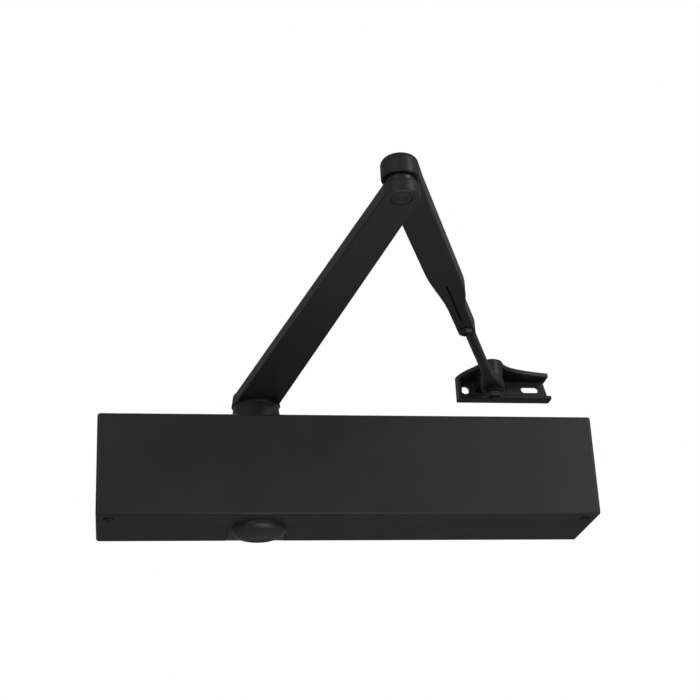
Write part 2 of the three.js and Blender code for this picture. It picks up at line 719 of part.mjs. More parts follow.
function addCover() {
  piece('cover', coverSolid(), satinBlack);
  for (const [side, label] of [[-1, 'left'], [1, 'right']]) {
    piece(`cover_bracket_${label}`, bracketSolid(side), steel);
    const screw = panScrew(coverScrew).translate([side * coverScrewX, coverScrewY, -coverHalfHeight - RUN]);
    piece(`cover_screw_${label}`, screw, satinBlack);
    for (const [up, level] of [[-1, 'lower'], [1, 'upper']]) {
      const foot = -casting.earThickness - 2 * RUN - bracket.sheet;
      const fixing = panScrew(footScrew).rotate([-90, 0, 0]);
      const z = (up * footScrew.spacing) / 2;
      piece(`bracket_screw_${label}_${level}`, fixing.translate([side * earHoleX, foot, z]), steel);
    }
  }
}

// ---------------------------------------------------------------- main arm

function mainArmSolid() {
  const half = arm.rootWidth / 2;
  const bar = new THREE.Shape();
  bar.moveTo(0, -half);
  bar.lineTo(arm.length, -arm.tipRadius);
  bar.absarc(arm.length, 0, arm.tipRadius, -Math.PI / 2, Math.PI / 2, false);
  bar.lineTo(0, half);
  bar.closePath();
  const flat = softPrism(bar, armBottom, armTop, arm.edge, 1, 8);
  const collar = turned([
    [0, hubBottom],
    [hub.radius - hub.edge, hubBottom],
    [hub.radius, hubBottom + hub.edge],
    [hub.radius, armTop - arm.edge],
    [hub.radius - arm.edge, armTop],
    [0, armTop],
  ]);
  const square = prism(polygon(4, spindleSquare + 2 * RUN), hubBottom - OVER, armTop + OVER);
  const sink = turned([
    [0, armBottom - OVER],
    [elbow.headRadius + RUN, armBottom - OVER],
    [elbow.headRadius + RUN, armBottom],
    [elbow.pinRadius + RUN, armBottom + elbow.headHeight],
    [elbow.pinRadius + RUN, armTop + OVER],
    [0, armTop + OVER],
  ], SMALL_ROUND);
  return cut(join(flat, collar), square.rotate([0, 0, -arm.angle]), sink.translate([arm.length, 0, 0]));
}

function elbowPinSolid() {
  const { pinRadius, sunk } = elbow;
  const base = armBottom + sunk;
  const top = elbowSeat + 2 * RUN + elbowClip.height + elbowClip.pinAbove;
  const chamfer = 0.8;
  return turned([
    [0, base],
    [elbow.headRadius - sunk, base],
    [pinRadius, armBottom + elbow.headHeight],
    [pinRadius, top - chamfer],
    [pinRadius - chamfer, top],
    [0, top],
  ], SMALL_ROUND);
}

function elbowClipSolid() {
  const base = elbowSeat + RUN;
  return ring(elbow.pinRadius + SNUG, elbowClip.radius, base, base + elbowClip.height, ROUND);
}

function elbowWasherSolid() {
  const base = armTop + RUN;
  return ring(elbow.pinRadius + RUN, elbowWasher.radius, base, base + elbowWasher.height, ROUND);
}

function armScrewSolid() {
  const under = armTop + RUN + armScrew.washerHeight + RUN;
  const tip = armTop - spindle.squareInset - armScrew.depth + OVER;
  const shank = drum(armScrew.radius, tip, under + OVER, SMALL_ROUND);
  const head = softPrism(polygon(6, armScrew.head), under, under + armScrew.headHeight, 0.6, 1);
  return join(shank, head);
}

function armWasherSolid() {
  const base = armTop + RUN;
  return ring(armScrew.radius + RUN, armScrew.washerRadius, base, base + armScrew.washerHeight, ROUND);
}

function addMainArm() {
  const frame = new THREE.Group();
  frame.position.set(spindle.x, axisY, 0);
  frame.rotation.z = arm.angle * DEG;
  closer.add(frame);
  piece('main_arm', mainArmSolid(), satinBlack, frame);
  piece('arm_screw', armScrewSolid(), steel, frame);
  piece('arm_washer', armWasherSolid(), steel, frame);
  piece('elbow_pin', elbowPinSolid().translate([arm.length, 0, 0]), satinBlack, frame);
}

// ---------------------------------------------------------------- forearm and rod

function forearmOutline() {
  const wide = forearm.halfWidth;
  const slim = forearm.noseHalfWidth;
  const { round, near, far, nose } = shoulder;
  const shape = new THREE.Shape();
  shape.absarc(0, 0, forearm.radius, Math.PI / 2, (3 * Math.PI) / 2, false);
  shape.lineTo(round, -wide);
  shape.lineTo(far, -wide);
  shape.bezierCurveTo(far + ease.far, -wide, nose - ease.farNose, -slim, nose, -slim);
  shape.absarc(forearm.length - slim, 0, slim, -Math.PI / 2, Math.PI / 2, false);
  shape.lineTo(nose, slim);
  shape.bezierCurveTo(nose - ease.nearNose, slim, near + ease.near, wide, near, wide);
  shape.lineTo(round, wide);
  shape.closePath();
  return shape;
}

function forearmSolid() {
  const raised = softPrism(forearmOutline(), forearmBottom - forearm.crown, forearmTop, forearm.crown, 3, 7);
  const side = forearm.radius + OVER;
  const under = forearmBottom - forearm.crown - OVER;
  const sole = block(-side, forearm.length + OVER, -side, side, under, forearmBottom);
  const pinHole = drum(elbow.pinRadius + RUN, under, forearmTop + OVER, SMALL_ROUND);
  const clipSeat = drum(elbowClip.radius + RUN, elbowSeat, forearmTop + OVER, ROUND);
  const rodBore = drum(rod.radius + RUN, rod.start - rod.spare, forearm.length + OVER, SMALL_ROUND);
  const rodHole = rodBore.rotate([0, 90, 0]).translate([0, 0, rodZ]);
  const half = seam.width / 2;
  const groove = block(seam.start, seam.end, -half, half, under, forearmBottom + seam.depth);
  const screwX = forearm.length - clampScrew.setback;
  const tapped = drum(clampScrew.radius + RUN, under, rodZ, SMALL_ROUND).translate([screwX, 0, 0]);
  return cut(raised, sole, pinHole, clipSeat, rodHole, groove, tapped);
}

function clampScrewSolid() {
  const under = forearmBottom - RUN;
  const face = under - clampScrew.headHeight;
  const tip = rodZ - rod.radius - RUN;
  const head = softPrism(polygon(6, clampScrew.head), face, under, 0.4, 1);
  const shank = drum(clampScrew.radius, under - RUN, tip, SMALL_ROUND);
  const socket = prism(polygon(6, clampScrew.socket), face - OVER, face + clampScrew.socketDepth);
  return cut(join(head, shank), socket).translate([forearm.length - clampScrew.setback, 0, 0]);
}

function rodSolid() {
  const { radius, neckEase } = rod;
  const eyeRadius = rodEye.radius;
  const neckStart = reach - rod.neck;
  const flatStart = reach - rodEye.flat;
  const flare = eyeRadius - rodEye.flat;
  const bar = drum(radius, rod.start, neckStart + OVER, SMALL_ROUND).rotate([0, 90, 0]);
  const neck = new THREE.Shape();
  neck.moveTo(neckStart, -radius);
  neck.bezierCurveTo(neckStart + neckEase, -radius, reach - neckEase, -flare, flatStart, -eyeRadius);
  neck.absarc(reach, 0, eyeRadius, -Math.PI / 2, Math.PI / 2, false);
  neck.lineTo(flatStart, eyeRadius);
  neck.bezierCurveTo(reach - neckEase, flare, neckStart + neckEase, radius, neckStart, radius);
  neck.closePath();
  const eye = softPrism(neck, eyeBottom, eyeTop, 1, 1, 7);
  const hole = drum(shoePin.radius + RUN, eyeBottom - OVER, eyeTop + OVER, SMALL_ROUND);
  return cut(join(bar.translate([0, 0, rodZ]), eye), hole.translate([reach, 0, 0]));
}

function addForearm() {
  const frame = new THREE.Group();
  frame.position.set(elbowX, elbowY, 0);
  frame.rotation.z = forearmAngle;
  closer.add(frame);
  piece('elbow_washer', elbowWasherSolid(), capPlastic, frame);
  piece('elbow_clip', elbowClipSolid(), springSteel, frame);
  piece('forearm', forearmSolid(), satinBlack, frame);
  piece('clamp_screw', clampScrewSolid(), satinBlack, frame);
  piece('rod', rodSolid(), satinBlack, frame);
}

// ---------------------------------------------------------------- shoe

// The bell-shaped flange seen from above. x = 0, y = 0 is the pivot; the frame face is at y = standOff.
function flangeOutline() {
  const back = shoe.standOff;
  const nose = shoeBoss.tipRadius;
  const waist = back - bell.waist;
  const right = shoe.right - bell.rightInset;
  const shape = new THREE.Shape();
  shape.moveTo(shoe.left, back);
  shape.lineTo(shoe.left, back - bell.leftLand);
  shape.bezierCurveTo(shoe.left + 3, waist, -nose - 1, nose - 1.4, -nose, 0);
  shape.absarc(0, 0, nose, Math.PI, bell.noseTurn * Math.PI, false);
  shape.bezierCurveTo(nose + 3, nose - 3.4, 2 * nose, waist, right, back - bell.rightLand);
  shape.lineTo(right, back);
  shape.closePath();
  return shape;
}

function shoeSolid() {
  const back = shoe.standOff;
  const front = back - shoe.plate;
  const flange = softPrism(flangeOutline(), flangeBottom, shoeTop, 0.8, 1, 7);
  const lipFront = back - shoeLip.depth;
  const edge = 0.6;
  const plateFace = outline([
    [shoe.left, shoeBottom],
    [shoe.right, shoeBottom],
    [shoe.right - shoe.taper, shoeTop - edge],
    [shoe.left, shoeTop - edge],
  ]);
  const plate = prism(plateFace, -back, -front).rotate([90, 0, 0]);
  const lipTop = shoeBottom + shoeLip.thickness;
  const lip = block(shoe.left, shoe.right, lipFront, front + OVER, shoeBottom, lipTop);
  const wallRight = shoe.left + shoeLip.endWall;
  const endWall = block(shoe.left, wallRight, lipFront, front + OVER, shoeBottom, flangeBottom + OVER);
  const bossBottom = eyeTop + RUN;
  const bossTopIn = flangeBottom + OVER;
  const bossSolid = turned([
    [0, bossBottom],
    [shoeBoss.radius - edge, bossBottom],
    [shoeBoss.radius, bossBottom + edge],
    [shoeBoss.radius + shoeBoss.flare, bossTopIn],
    [0, bossTopIn],
  ], ROUND);
  const gussets = [-1, 1].map((side) => {
    const x = side * gusset.setOff;
    const half = gusset.thickness / 2;
    return block(x - half, x + half, half, front + OVER, eyeTop + gusset.rise, flangeBottom + OVER);
  });
  const whole = join(flange, plate, lip, endWall, bossSolid, ...gussets);
  const [inside, outside] = [front - OVER, back + OVER];
  const round = drilledY(shoeHole.x, shoeBottom + shoeHole.height, shoeHole.radius, inside, outside);
  const { x, half, radius } = shoeSlot;
  const z = shoeBottom + shoeSlot.height;
  const slotEnds = [-1, 1].map((side) => drilledY(x + side * half, z, radius, inside, outside));
  const slot = block(x - half, x + half, inside, outside, z - radius, z + radius);
  const bolt = drum(shoePin.radius + SNUG, eyeTop - OVER, shoeTop + OVER, SMALL_ROUND);
  return cut(whole, round, ...slotEnds, slot, bolt);
}

function shoePinSolid() {
  const { radius, headRadius, headHeight } = shoePin;
  const bottom = eyeBottom - 2 * RUN - shoeWasher.height - shoeNut.height - shoePin.tail;
  const head = shoeTop + RUN;
  const chamfer = 0.6;
  return turned([
    [0, bottom],
    [radius - chamfer, bottom],
    [radius, bottom + chamfer],
    [radius, head],
    [headRadius, head],
    [headRadius - chamfer, head + headHeight],
    [0, head + headHeight],
  ], SMALL_ROUND);
}

function addShoe() {
  const frame = new THREE.Group();
  frame.position.set(shoe.pivotX, pivotY, 0);
  closer.add(frame);
  piece('shoe', shoeSolid(), satinBlack, frame);
  piece('shoe_pin', shoePinSolid(), satinBlack, frame);
  const washerTop = eyeBottom - RUN;
  const washerBottom = washerTop - shoeWasher.height;
  const washer = ring(shoePin.radius + RUN, shoeWasher.radius, washerBottom, washerTop, ROUND);
  piece('shoe_washer', washer, satinBlack, frame);
  const nutTop = washerBottom - RUN;
  const nutBottom = nutTop - shoeNut.height;
  const nut = softPrism(polygon(6, shoeNut.acrossFlats), nutBottom, nutTop, 0.5, 1);
  const thread = drum(shoePin.radius + SNUG, nutBottom - OVER, nutTop + OVER, SMALL_ROUND);
  piece('shoe_nut', cut(nut, thread), satinBlack, frame);
}

// ---------------------------------------------------------------- the whole closer

piece('body_casting', castingSolid(), castGrey);
addCaps();
addValves();
piece('power_adjuster', adjusterSolid(), steel);
piece('spring_seat', seatSolid(), steel);
piece('piston', pistonSolid(), steel);
piece('piston_ring', pistonRingSolid(), rubber);
piece('check_valve', checkValveSolid(), brass);
piece('main_spring', springSolid(), springSteel);
addPinionStack();
addCover();
addMainArm();
addForearm();
addShoe();

export default closer;
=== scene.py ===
# %% [markdown]
# # A surface door closer, piece by piece
# This lesson puts the looks on a door closer whose working shape already exists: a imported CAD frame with
# every solid at its real size and every joint in place. We never move those solids. Where a CAD solid is
# too coarse to be seen, we build a finer piece in the same place and let it stand for the solid; where it
# is hidden inside, a copy of its mesh with a better finish does that. Shapes are written in millimetres,
# which is how a maker reads them, and become metres only when a mesh is made.

# %% Load the frame
import json
import math

import bmesh
import bpy
from mathutils import Matrix, Vector


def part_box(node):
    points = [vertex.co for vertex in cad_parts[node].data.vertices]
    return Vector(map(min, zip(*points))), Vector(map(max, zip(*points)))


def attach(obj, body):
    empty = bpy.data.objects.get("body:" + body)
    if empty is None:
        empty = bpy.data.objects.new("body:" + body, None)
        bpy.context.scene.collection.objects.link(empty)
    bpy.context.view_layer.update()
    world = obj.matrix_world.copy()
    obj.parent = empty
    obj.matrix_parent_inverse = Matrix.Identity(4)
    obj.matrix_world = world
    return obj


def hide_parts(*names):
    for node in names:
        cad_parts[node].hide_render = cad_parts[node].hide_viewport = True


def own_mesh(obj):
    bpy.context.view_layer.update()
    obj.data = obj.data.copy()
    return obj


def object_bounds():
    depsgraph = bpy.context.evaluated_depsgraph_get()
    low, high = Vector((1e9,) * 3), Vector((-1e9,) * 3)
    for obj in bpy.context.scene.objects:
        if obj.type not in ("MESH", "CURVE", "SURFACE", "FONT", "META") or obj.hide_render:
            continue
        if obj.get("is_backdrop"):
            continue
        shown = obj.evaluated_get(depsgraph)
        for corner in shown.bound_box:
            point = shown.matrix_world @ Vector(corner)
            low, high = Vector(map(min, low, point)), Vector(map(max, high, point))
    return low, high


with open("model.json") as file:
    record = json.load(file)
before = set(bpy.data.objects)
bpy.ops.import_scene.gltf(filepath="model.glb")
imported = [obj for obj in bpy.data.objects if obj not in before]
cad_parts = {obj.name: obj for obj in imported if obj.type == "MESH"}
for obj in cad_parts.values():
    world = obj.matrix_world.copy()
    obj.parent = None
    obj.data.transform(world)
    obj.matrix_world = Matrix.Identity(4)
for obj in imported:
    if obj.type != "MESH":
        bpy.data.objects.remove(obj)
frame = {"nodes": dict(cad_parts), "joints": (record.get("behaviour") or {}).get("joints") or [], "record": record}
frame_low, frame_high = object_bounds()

MM = 0.001

# %% [markdown]
# ## Where things are
# The joints already say where the spindle, the elbow and the shoe pivot stand, so we read them instead of
# typing numbers. Each arm gets its own local frame with X running along the arm: shapes are then drawn
# straight, and grain and brushing follow the metal when the arm turns.

# %% Read the pivots and make the local frames
joints = {joint["name"]: joint for joint in frame["joints"]}
spindle = Vector(joints["arm_turn"]["pos_m"]) / MM
elbow = Vector(joints["elbow"]["pos_m"]) / MM
pivot = Vector(joints["shoe_pivot"]["pos_m"]) / MM
axis_y = spindle.y


def local_frame(origin, toward):
    """A frame that stands at origin, keeps Z up and turns X toward another point."""
    turn = math.atan2(toward.y - origin.y, toward.x - origin.x)
    return Matrix.Translation((origin.x * MM, origin.y * MM, 0)) @ Matrix.Rotation(turn, 4, "Z")


arm_frame = local_frame(spindle, elbow)
forearm_frame = local_frame(elbow, pivot)
shoe_frame = Matrix.Translation((pivot.x * MM, pivot.y * MM, 0))
spindle_frame = Matrix.Translation((spindle.x * MM, axis_y * MM, 0))
arm_length = (elbow.xy - spindle.xy).length
reach = (pivot.xy - elbow.xy).length
print(f"arm {arm_length:.1f} mm, elbow to shoe {reach:.1f} mm")


# %% [markdown]
# Each fine piece takes its main sizes from the box of the CAD solid it stands for, so the two can't drift
# apart. GAP is the room left between a hole and what goes through it.

# %% A ruler for the CAD solids
def box_mm(node):
    """Lowest and highest corner of a CAD solid, in millimetres."""
    low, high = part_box(node)
    return low / MM, high / MM


def middle_mm(node):
    """The middle of a CAD solid's box, in millimetres."""
    low, high = box_mm(node)
    return [(a + b) / 2 for a, b in zip(low, high)]


GAP = 0.3
cover_low, cover_high = box_mm("cover")
print("cover", tuple(round(s, 1) for s in cover_high - cover_low), "mm")


# %% [markdown]
# ## Tools for making shapes
# Nearly everything here is turned on a lathe, sawn from plate, or cast. So three tools are enough: a lathe
# that spins a profile, a plate tool that gives an outline thickness and rounds its edges, and a saw made of
# boolean cuts. Real edges are never sharp, and a rounded edge is what catches the light, so each tool can
# round what it makes.

# %% From a mesh in millimetres to an object
def to_object(name, bm):
    bmesh.ops.recalc_face_normals(bm, faces=bm.faces)
    bmesh.ops.scale(bm, vec=(MM, MM, MM), verts=bm.verts)
    mesh = bpy.data.meshes.new(name)
    bm.to_mesh(mesh)
    bm.free()
    obj = bpy.data.objects.new(name, mesh)
    bpy.context.scene.collection.objects.link(obj)
    return obj


def settle(obj):
    """Turns the modifiers into plain mesh."""
    graph = bpy.context.evaluated_depsgraph_get()
    mesh = bpy.data.meshes.new_from_object(obj.evaluated_get(graph))
    obj.modifiers.clear()
    obj.data = mesh
    return obj


# %% The lathe
def turned(name, profile, sides=96):
    """Spins (radius, height) points round Z. The profile runs from axis to axis, or closes on itself."""
    bm = bmesh.new()
    rings = []
    for radius, height in profile:
        if radius < 1e-6:
            rings.append([bm.verts.new((0, 0, height))])
            continue
        angles = [2 * math.pi * i / sides for i in range(sides)]
        rings.append([bm.verts.new((radius * math.cos(a), radius * math.sin(a), height)) for a in angles])
    pairs = list(zip(rings, rings[1:]))
    if profile[0][0] > 0:
        pairs.append((rings[-1], rings[0]))
    for lower, upper in pairs:
        for i in range(sides):
            j = (i + 1) % sides
            corners = [lower[i % len(lower)], lower[j % len(lower)]]
            corners += [upper[j % len(upper)], upper[i % len(upper)]]
            bm.faces.new(list(dict.fromkeys(corners)))
    return to_object(name, bm)


def ring(name, inner, outer, low, high, sides=96):
    return turned(name, [(inner, low), (outer, low), (outer, high), (inner, high)], sides)


def drum(name, radius, low, high, sides=96):
    return turned(name, [(0, low), (radius, low), (radius, high), (0, high)], sides)


# %% Outlines
def arc(x, y, radius, start, end, steps=16):
    """Points along a round stretch, angles in degrees."""
    angles = [math.radians(start + (end - start) * i / steps) for i in range(steps + 1)]
    return [(x + radius * math.cos(a), y + radius * math.sin(a)) for a in angles]


def sweep(start, pull_start, pull_end, end, steps=14):
    """Points along a free curve that leaves start toward pull_start and arrives at end from pull_end."""
    points = []
    for i in range(1, steps + 1):
        t = i / steps
        weights = [(1 - t) ** 3, 3 * t * (1 - t) ** 2, 3 * t * t * (1 - t), t ** 3]
        corners = [start, pull_start, pull_end, end]
        points.append(tuple(sum(w * c[k] for w, c in zip(weights, corners)) for k in (0, 1)))
    return points


def hexagon(across_flats):
    radius = across_flats / math.sqrt(3)
    return arc(0, 0, radius, 0, 300, 5)


def rectangle(left, right, low, high):
    return [(left, low), (right, low), (right, high), (left, high)]


# %% The plate tool
def plate(name, outline, low, high, top=0.0, bottom=0.0, segments=4):
    """Gives an outline thickness along Z and rounds its top and bottom edges by those radii."""
    bm = bmesh.new()
    floor = bm.faces.new([bm.verts.new((x, y, low)) for x, y in outline])
    raised = bmesh.ops.extrude_face_region(bm, geom=[floor])
    lifted = [v for v in raised["geom"] if isinstance(v, bmesh.types.BMVert)]
    bmesh.ops.translate(bm, vec=(0, 0, high - low), verts=lifted)
    for level, radius in ((low, bottom), (high, top)):
        if radius:
            rim = [e for e in bm.edges if all(abs(v.co.z - level) < 1e-4 for v in e.verts)]
            shape = {"offset": radius, "segments": segments, "profile": 0.5, "clamp_overlap": True}
            bmesh.ops.bevel(bm, geom=rim, affect="EDGES", **shape)
    return to_object(name, bm)


def block(name, left, right, near, far, low, high):
    return plate(name, rectangle(left, right, near, far), low, high)


def swing(obj, axis, degrees, move=(0, 0, 0)):
    """Turns a piece's mesh about the origin, then moves it by millimetres."""
    turn = Matrix.Rotation(math.radians(degrees), 4, axis)
    obj.data.transform(Matrix.Translation(Vector(move) * MM) @ turn)
    return obj


def shift(obj, x, y=0.0):
    return swing(obj, "Z", 0, (x, y, 0))


def lying_drum(name, radius, left, right, y, z, sides=96):
    """A drum whose axis runs along X."""
    return swing(drum(name, radius, left, right, sides), "Y", 90, (0, y, z))


def reach_out(side, near, far):
    """Two places along an axis, lowest first, on the side that is -1 or 1."""
    return sorted((side * near, side * far))


# %% The saw
def combine(obj, others, operation):
    for other in others:
        step = obj.modifiers.new(operation, "BOOLEAN")
        step.operation = operation
        step.solver = "EXACT"
        step.object = other
        settle(obj)
        bpy.data.objects.remove(other)
    return obj


def cut(obj, *others):
    return combine(obj, others, "DIFFERENCE")


def weld(obj, *others):
    return combine(obj, others, "UNION")


def break_edges(obj, radius, segments=2, angle=35):
    """Rounds every edge that is sharper than the angle."""
    step = obj.modifiers.new("edges", "BEVEL")
    step.width = radius * MM
    step.segments = segments
    step.limit_method = "ANGLE"
    step.angle_limit = math.radians(angle)
    step.use_clamp_overlap = True
    return settle(obj)


def as_cast(obj, grain, passes):
    """Melts a welded shape into one skin with small fillets, as a sand mould leaves it."""
    remesh = obj.modifiers.new("skin", "REMESH")
    remesh.mode = "VOXEL"
    remesh.voxel_size = grain * MM
    smooth = obj.modifiers.new("fillets", "SMOOTH")
    smooth.factor = 0.5
    smooth.iterations = passes
    return settle(obj)


# %% [markdown]
# ## Shared surface effects
# Seven finishes share a few effects: a fine grain, patchy gloss, edges rubbed bare, dust, and brushing. Each
# effect is a node group with named inputs, so a material only has to say how much of it it wants. The
# groups give masks, heights and colours; the shader itself always stays in the material.

# %% A helper that makes node groups
def effect(name, inputs, outputs):
    """An empty node group whose inputs have defaults. Returns the group, its input and its output node."""
    group = bpy.data.node_groups.new(name, "ShaderNodeTree")
    for label, (kind, value) in inputs.items():
        socket = group.interface.new_socket(label, in_out="INPUT", socket_type=kind)
        socket.default_value = value
    for label, kind in outputs.items():
        group.interface.new_socket(label, in_out="OUTPUT", socket_type=kind)
    return group, group.nodes.new("NodeGroupInput"), group.nodes.new("NodeGroupOutput")


FLOAT, VECTOR = "NodeSocketFloat", "NodeSocketVector"


def surface(tree):
    """The place on the piece itself, so that a pattern turns with the metal."""
    return tree.nodes.new("ShaderNodeTexCoord").outputs["Object"]


def noise(tree, place, size_mm, detail, rough=0.55):
    """A noise with grains of about that size. size_mm is a socket."""
    node = tree.nodes.new("ShaderNodeTexNoise")
    node.inputs["Detail"].default_value = detail
    node.inputs["Roughness"].default_value = rough
    tree.links.new(place, node.inputs["Vector"])
    tree.links.new(maths(tree, "DIVIDE", 1 / MM, size_mm), node.inputs["Scale"])
    return node


def maths(tree, operation, *values, clamp=False):
    """One Math node. Values are numbers or sockets."""
    node = tree.nodes.new("ShaderNodeMath")
    node.operation = operation
    node.use_clamp = clamp
    for socket, value in zip(node.inputs, values):
        if isinstance(value, bpy.types.NodeSocket):
            tree.links.new(value, socket)
        else:
            socket.default_value = value
    return node.outputs[0]


def spread(tree, value, low, high, to_low=0.0, to_high=1.0):
    """Maps a range smoothly onto another."""
    node = tree.nodes.new("ShaderNodeMapRange")
    node.interpolation_type = "SMOOTHSTEP"
    for label, number in (("From Min", low), ("From Max", high), ("To Min", to_low), ("To Max", to_high)):
        if isinstance(number, bpy.types.NodeSocket):
            tree.links.new(number, node.inputs[label])
        else:
            node.inputs[label].default_value = number
    tree.links.new(value, node.inputs["Value"])
    return node.outputs["Result"]


# %% [markdown]
# Powder coat flows as it bakes, but never quite flat: it keeps a soft orange peel of a millimetre or two,
# with a finer tooth on top. Two noises at those sizes, added together, make the height.

# %% Coat grain
def make_coat_grain():
    group, start, end = effect(
        "Coat grain",
        {"Peel size mm": (FLOAT, 1.6), "Tooth size mm": (FLOAT, 0.28), "Tooth share": (FLOAT, 0.4)},
        {"Height": FLOAT},
    )
    peel = noise(group, surface(group), start.outputs["Peel size mm"], detail=2.0)
    tooth = noise(group, surface(group), start.outputs["Tooth size mm"], detail=2.0)
    share = maths(group, "MULTIPLY", tooth.outputs["Fac"], start.outputs["Tooth share"])
    group.links.new(maths(group, "ADD", peel.outputs["Fac"], share), end.inputs["Height"])
    return group


coat_grain = make_coat_grain()
print(coat_grain.name, "inputs:", [s.name for s in coat_grain.interface.items_tree if s.in_out == "INPUT"])


# %% [markdown]
# Hands, air and cleaning leave a surface unevenly glossy. This effect is a broad, soft noise with a second,
# smaller one inside it, stretched to the range the material asks for.

# %% Patchy gloss
def make_patches():
    group, start, end = effect(
        "Patches",
        {"Size mm": (FLOAT, 45.0), "Low": (FLOAT, 0.0), "High": (FLOAT, 1.0)},
        {"Value": FLOAT},
    )
    broad = noise(group, surface(group), start.outputs["Size mm"], detail=5.0, rough=0.62)
    broad.inputs["Distortion"].default_value = 0.4
    value = spread(group, broad.outputs["Fac"], 0.3, 0.7, start.outputs["Low"], start.outputs["High"])
    group.links.new(value, end.inputs["Value"])
    return group


patches = make_patches()
print(patches.name, "ready")


# %% [markdown]
# Edges wear first. The Bevel node tells what the normal would be if the edge were rounded; where that
# differs from the true normal, there is an edge nearby. Noise breaks the line up, because rubbing is never
# even.

# %% Edge wear
def make_edge_wear():
    group, start, end = effect(
        "Edge wear",
        {"Width mm": (FLOAT, 0.5), "Breakup mm": (FLOAT, 3.0), "Amount": (FLOAT, 0.6)},
        {"Mask": FLOAT},
    )
    rounded = group.nodes.new("ShaderNodeBevel")
    rounded.samples = 4
    group.links.new(maths(group, "MULTIPLY", start.outputs["Width mm"], MM), rounded.inputs["Radius"])
    geometry = group.nodes.new("ShaderNodeNewGeometry")
    agree = group.nodes.new("ShaderNodeVectorMath")
    agree.operation = "DOT_PRODUCT"
    group.links.new(rounded.outputs["Normal"], agree.inputs[0])
    group.links.new(geometry.outputs["Normal"], agree.inputs[1])
    edge = spread(group, agree.outputs["Value"], 0.992, 0.90)
    breakup = noise(group, surface(group), start.outputs["Breakup mm"], detail=4.0, rough=0.65)
    rubbed = spread(group, breakup.outputs["Fac"], 0.42, 0.66)
    worn = maths(group, "MULTIPLY", edge, rubbed)
    group.links.new(maths(group, "MULTIPLY", worn, start.outputs["Amount"], clamp=True), end.inputs["Mask"])
    return group


edge_wear = make_edge_wear()
print(edge_wear.name, "ready")


# %% [markdown]
# Dust settles on what faces up and stays thin. The mask is the upward part of the normal, broken by noise.

# %% Dust
def make_dust():
    group, start, end = effect("Dust", {"Amount": (FLOAT, 0.1), "Fleck mm": (FLOAT, 2.0)}, {"Mask": FLOAT})
    parts = group.nodes.new("ShaderNodeSeparateXYZ")
    group.links.new(group.nodes.new("ShaderNodeNewGeometry").outputs["Normal"], parts.inputs[0])
    upward = spread(group, parts.outputs["Z"], 0.55, 0.98)
    flecks = noise(group, surface(group), start.outputs["Fleck mm"], detail=6.0, rough=0.7)
    settled = maths(group, "MULTIPLY", upward, spread(group, flecks.outputs["Fac"], 0.4, 0.75))
    mask = maths(group, "MULTIPLY", settled, start.outputs["Amount"], clamp=True)
    group.links.new(mask, end.inputs["Mask"])
    return group


dust = make_dust()
print(dust.name, "ready")


# %% [markdown]
# Turned and rolled metal carries fine parallel marks. A noise that is stretched along one direction by
# scaling the coordinates gives them; the material says which way they run.

# %% Brushing
def make_brushing():
    group, start, end = effect(
        "Brushing",
        {"Along": (VECTOR, (0.03, 1.0, 1.0)), "Line mm": (FLOAT, 0.16)},
        {"Height": FLOAT, "Value": FLOAT},
    )
    stretch = group.nodes.new("ShaderNodeVectorMath")
    stretch.operation = "MULTIPLY"
    group.links.new(surface(group), stretch.inputs[0])
    group.links.new(start.outputs["Along"], stretch.inputs[1])
    lines = noise(group, stretch.outputs["Vector"], start.outputs["Line mm"], detail=4.0, rough=0.6)
    group.links.new(lines.outputs["Fac"], end.inputs["Height"])
    group.links.new(spread(group, lines.outputs["Fac"], 0.3, 0.7), end.inputs["Value"])
    return group


brushing = make_brushing()
print(brushing.name, "ready")


# %% [markdown]
# ## The finishes
# Every finish starts the same way: a Principled shader with its plain values set on its own sockets, and a
# Bump node in front of its normal. The effects then only touch what changes over the surface.

# %% Start a material
def start_material(name, colour, roughness, metallic, specular=0.5):
    material = bpy.data.materials.new(name)
    material.use_nodes = True
    tree = material.node_tree
    shader = tree.nodes["Principled BSDF"]
    shader.inputs["Base Color"].default_value = (*colour, 1)
    shader.inputs["Roughness"].default_value = roughness
    shader.inputs["Metallic"].default_value = metallic
    shader.inputs["Specular IOR Level"].default_value = specular
    return material, tree, shader


def use(tree, group, **values):
    """Places an effect in a material and sets its inputs; underscores in names stand for spaces."""
    node = tree.nodes.new("ShaderNodeGroup")
    node.node_tree = group
    for label, value in values.items():
        node.inputs[label.replace("_", " ")].default_value = value
    return node


def blend_colour(tree, mask, below, above):
    """below where the mask is 0, above where it is 1. Colours are triples or sockets."""
    node = tree.nodes.new("ShaderNodeMix")
    node.data_type = "RGBA"
    tree.links.new(mask, node.inputs[0])
    for socket, colour in ((node.inputs[6], below), (node.inputs[7], above)):
        if isinstance(colour, bpy.types.NodeSocket):
            tree.links.new(colour, socket)
        else:
            socket.default_value = (*colour, 1)
    return node.outputs[2]


def press(tree, shader, height, depth_mm, strength=1.0):
    """Feeds a height through a Bump node into the shader's normal."""
    bump = tree.nodes.new("ShaderNodeBump")
    bump.inputs["Strength"].default_value = strength
    bump.inputs["Distance"].default_value = depth_mm * MM
    tree.links.new(height, bump.inputs["Height"])
    tree.links.new(bump.outputs["Normal"], shader.inputs["Normal"])


def vary_gloss(tree, shader, size_mm, low, high):
    """Lets the roughness wander between two values in patches of that size."""
    gloss = use(tree, patches, Size_mm=size_mm, Low=low, High=high)
    tree.links.new(gloss.outputs["Value"], shader.inputs["Roughness"])


# %% [markdown]
# Satin black powder coat covers the cover, both arms, the rod and the shoe. It is a pigmented plastic
# skin, so it isn't metallic; rubbed edges go grey and a little shinier, and the top gathers a trace of dust.

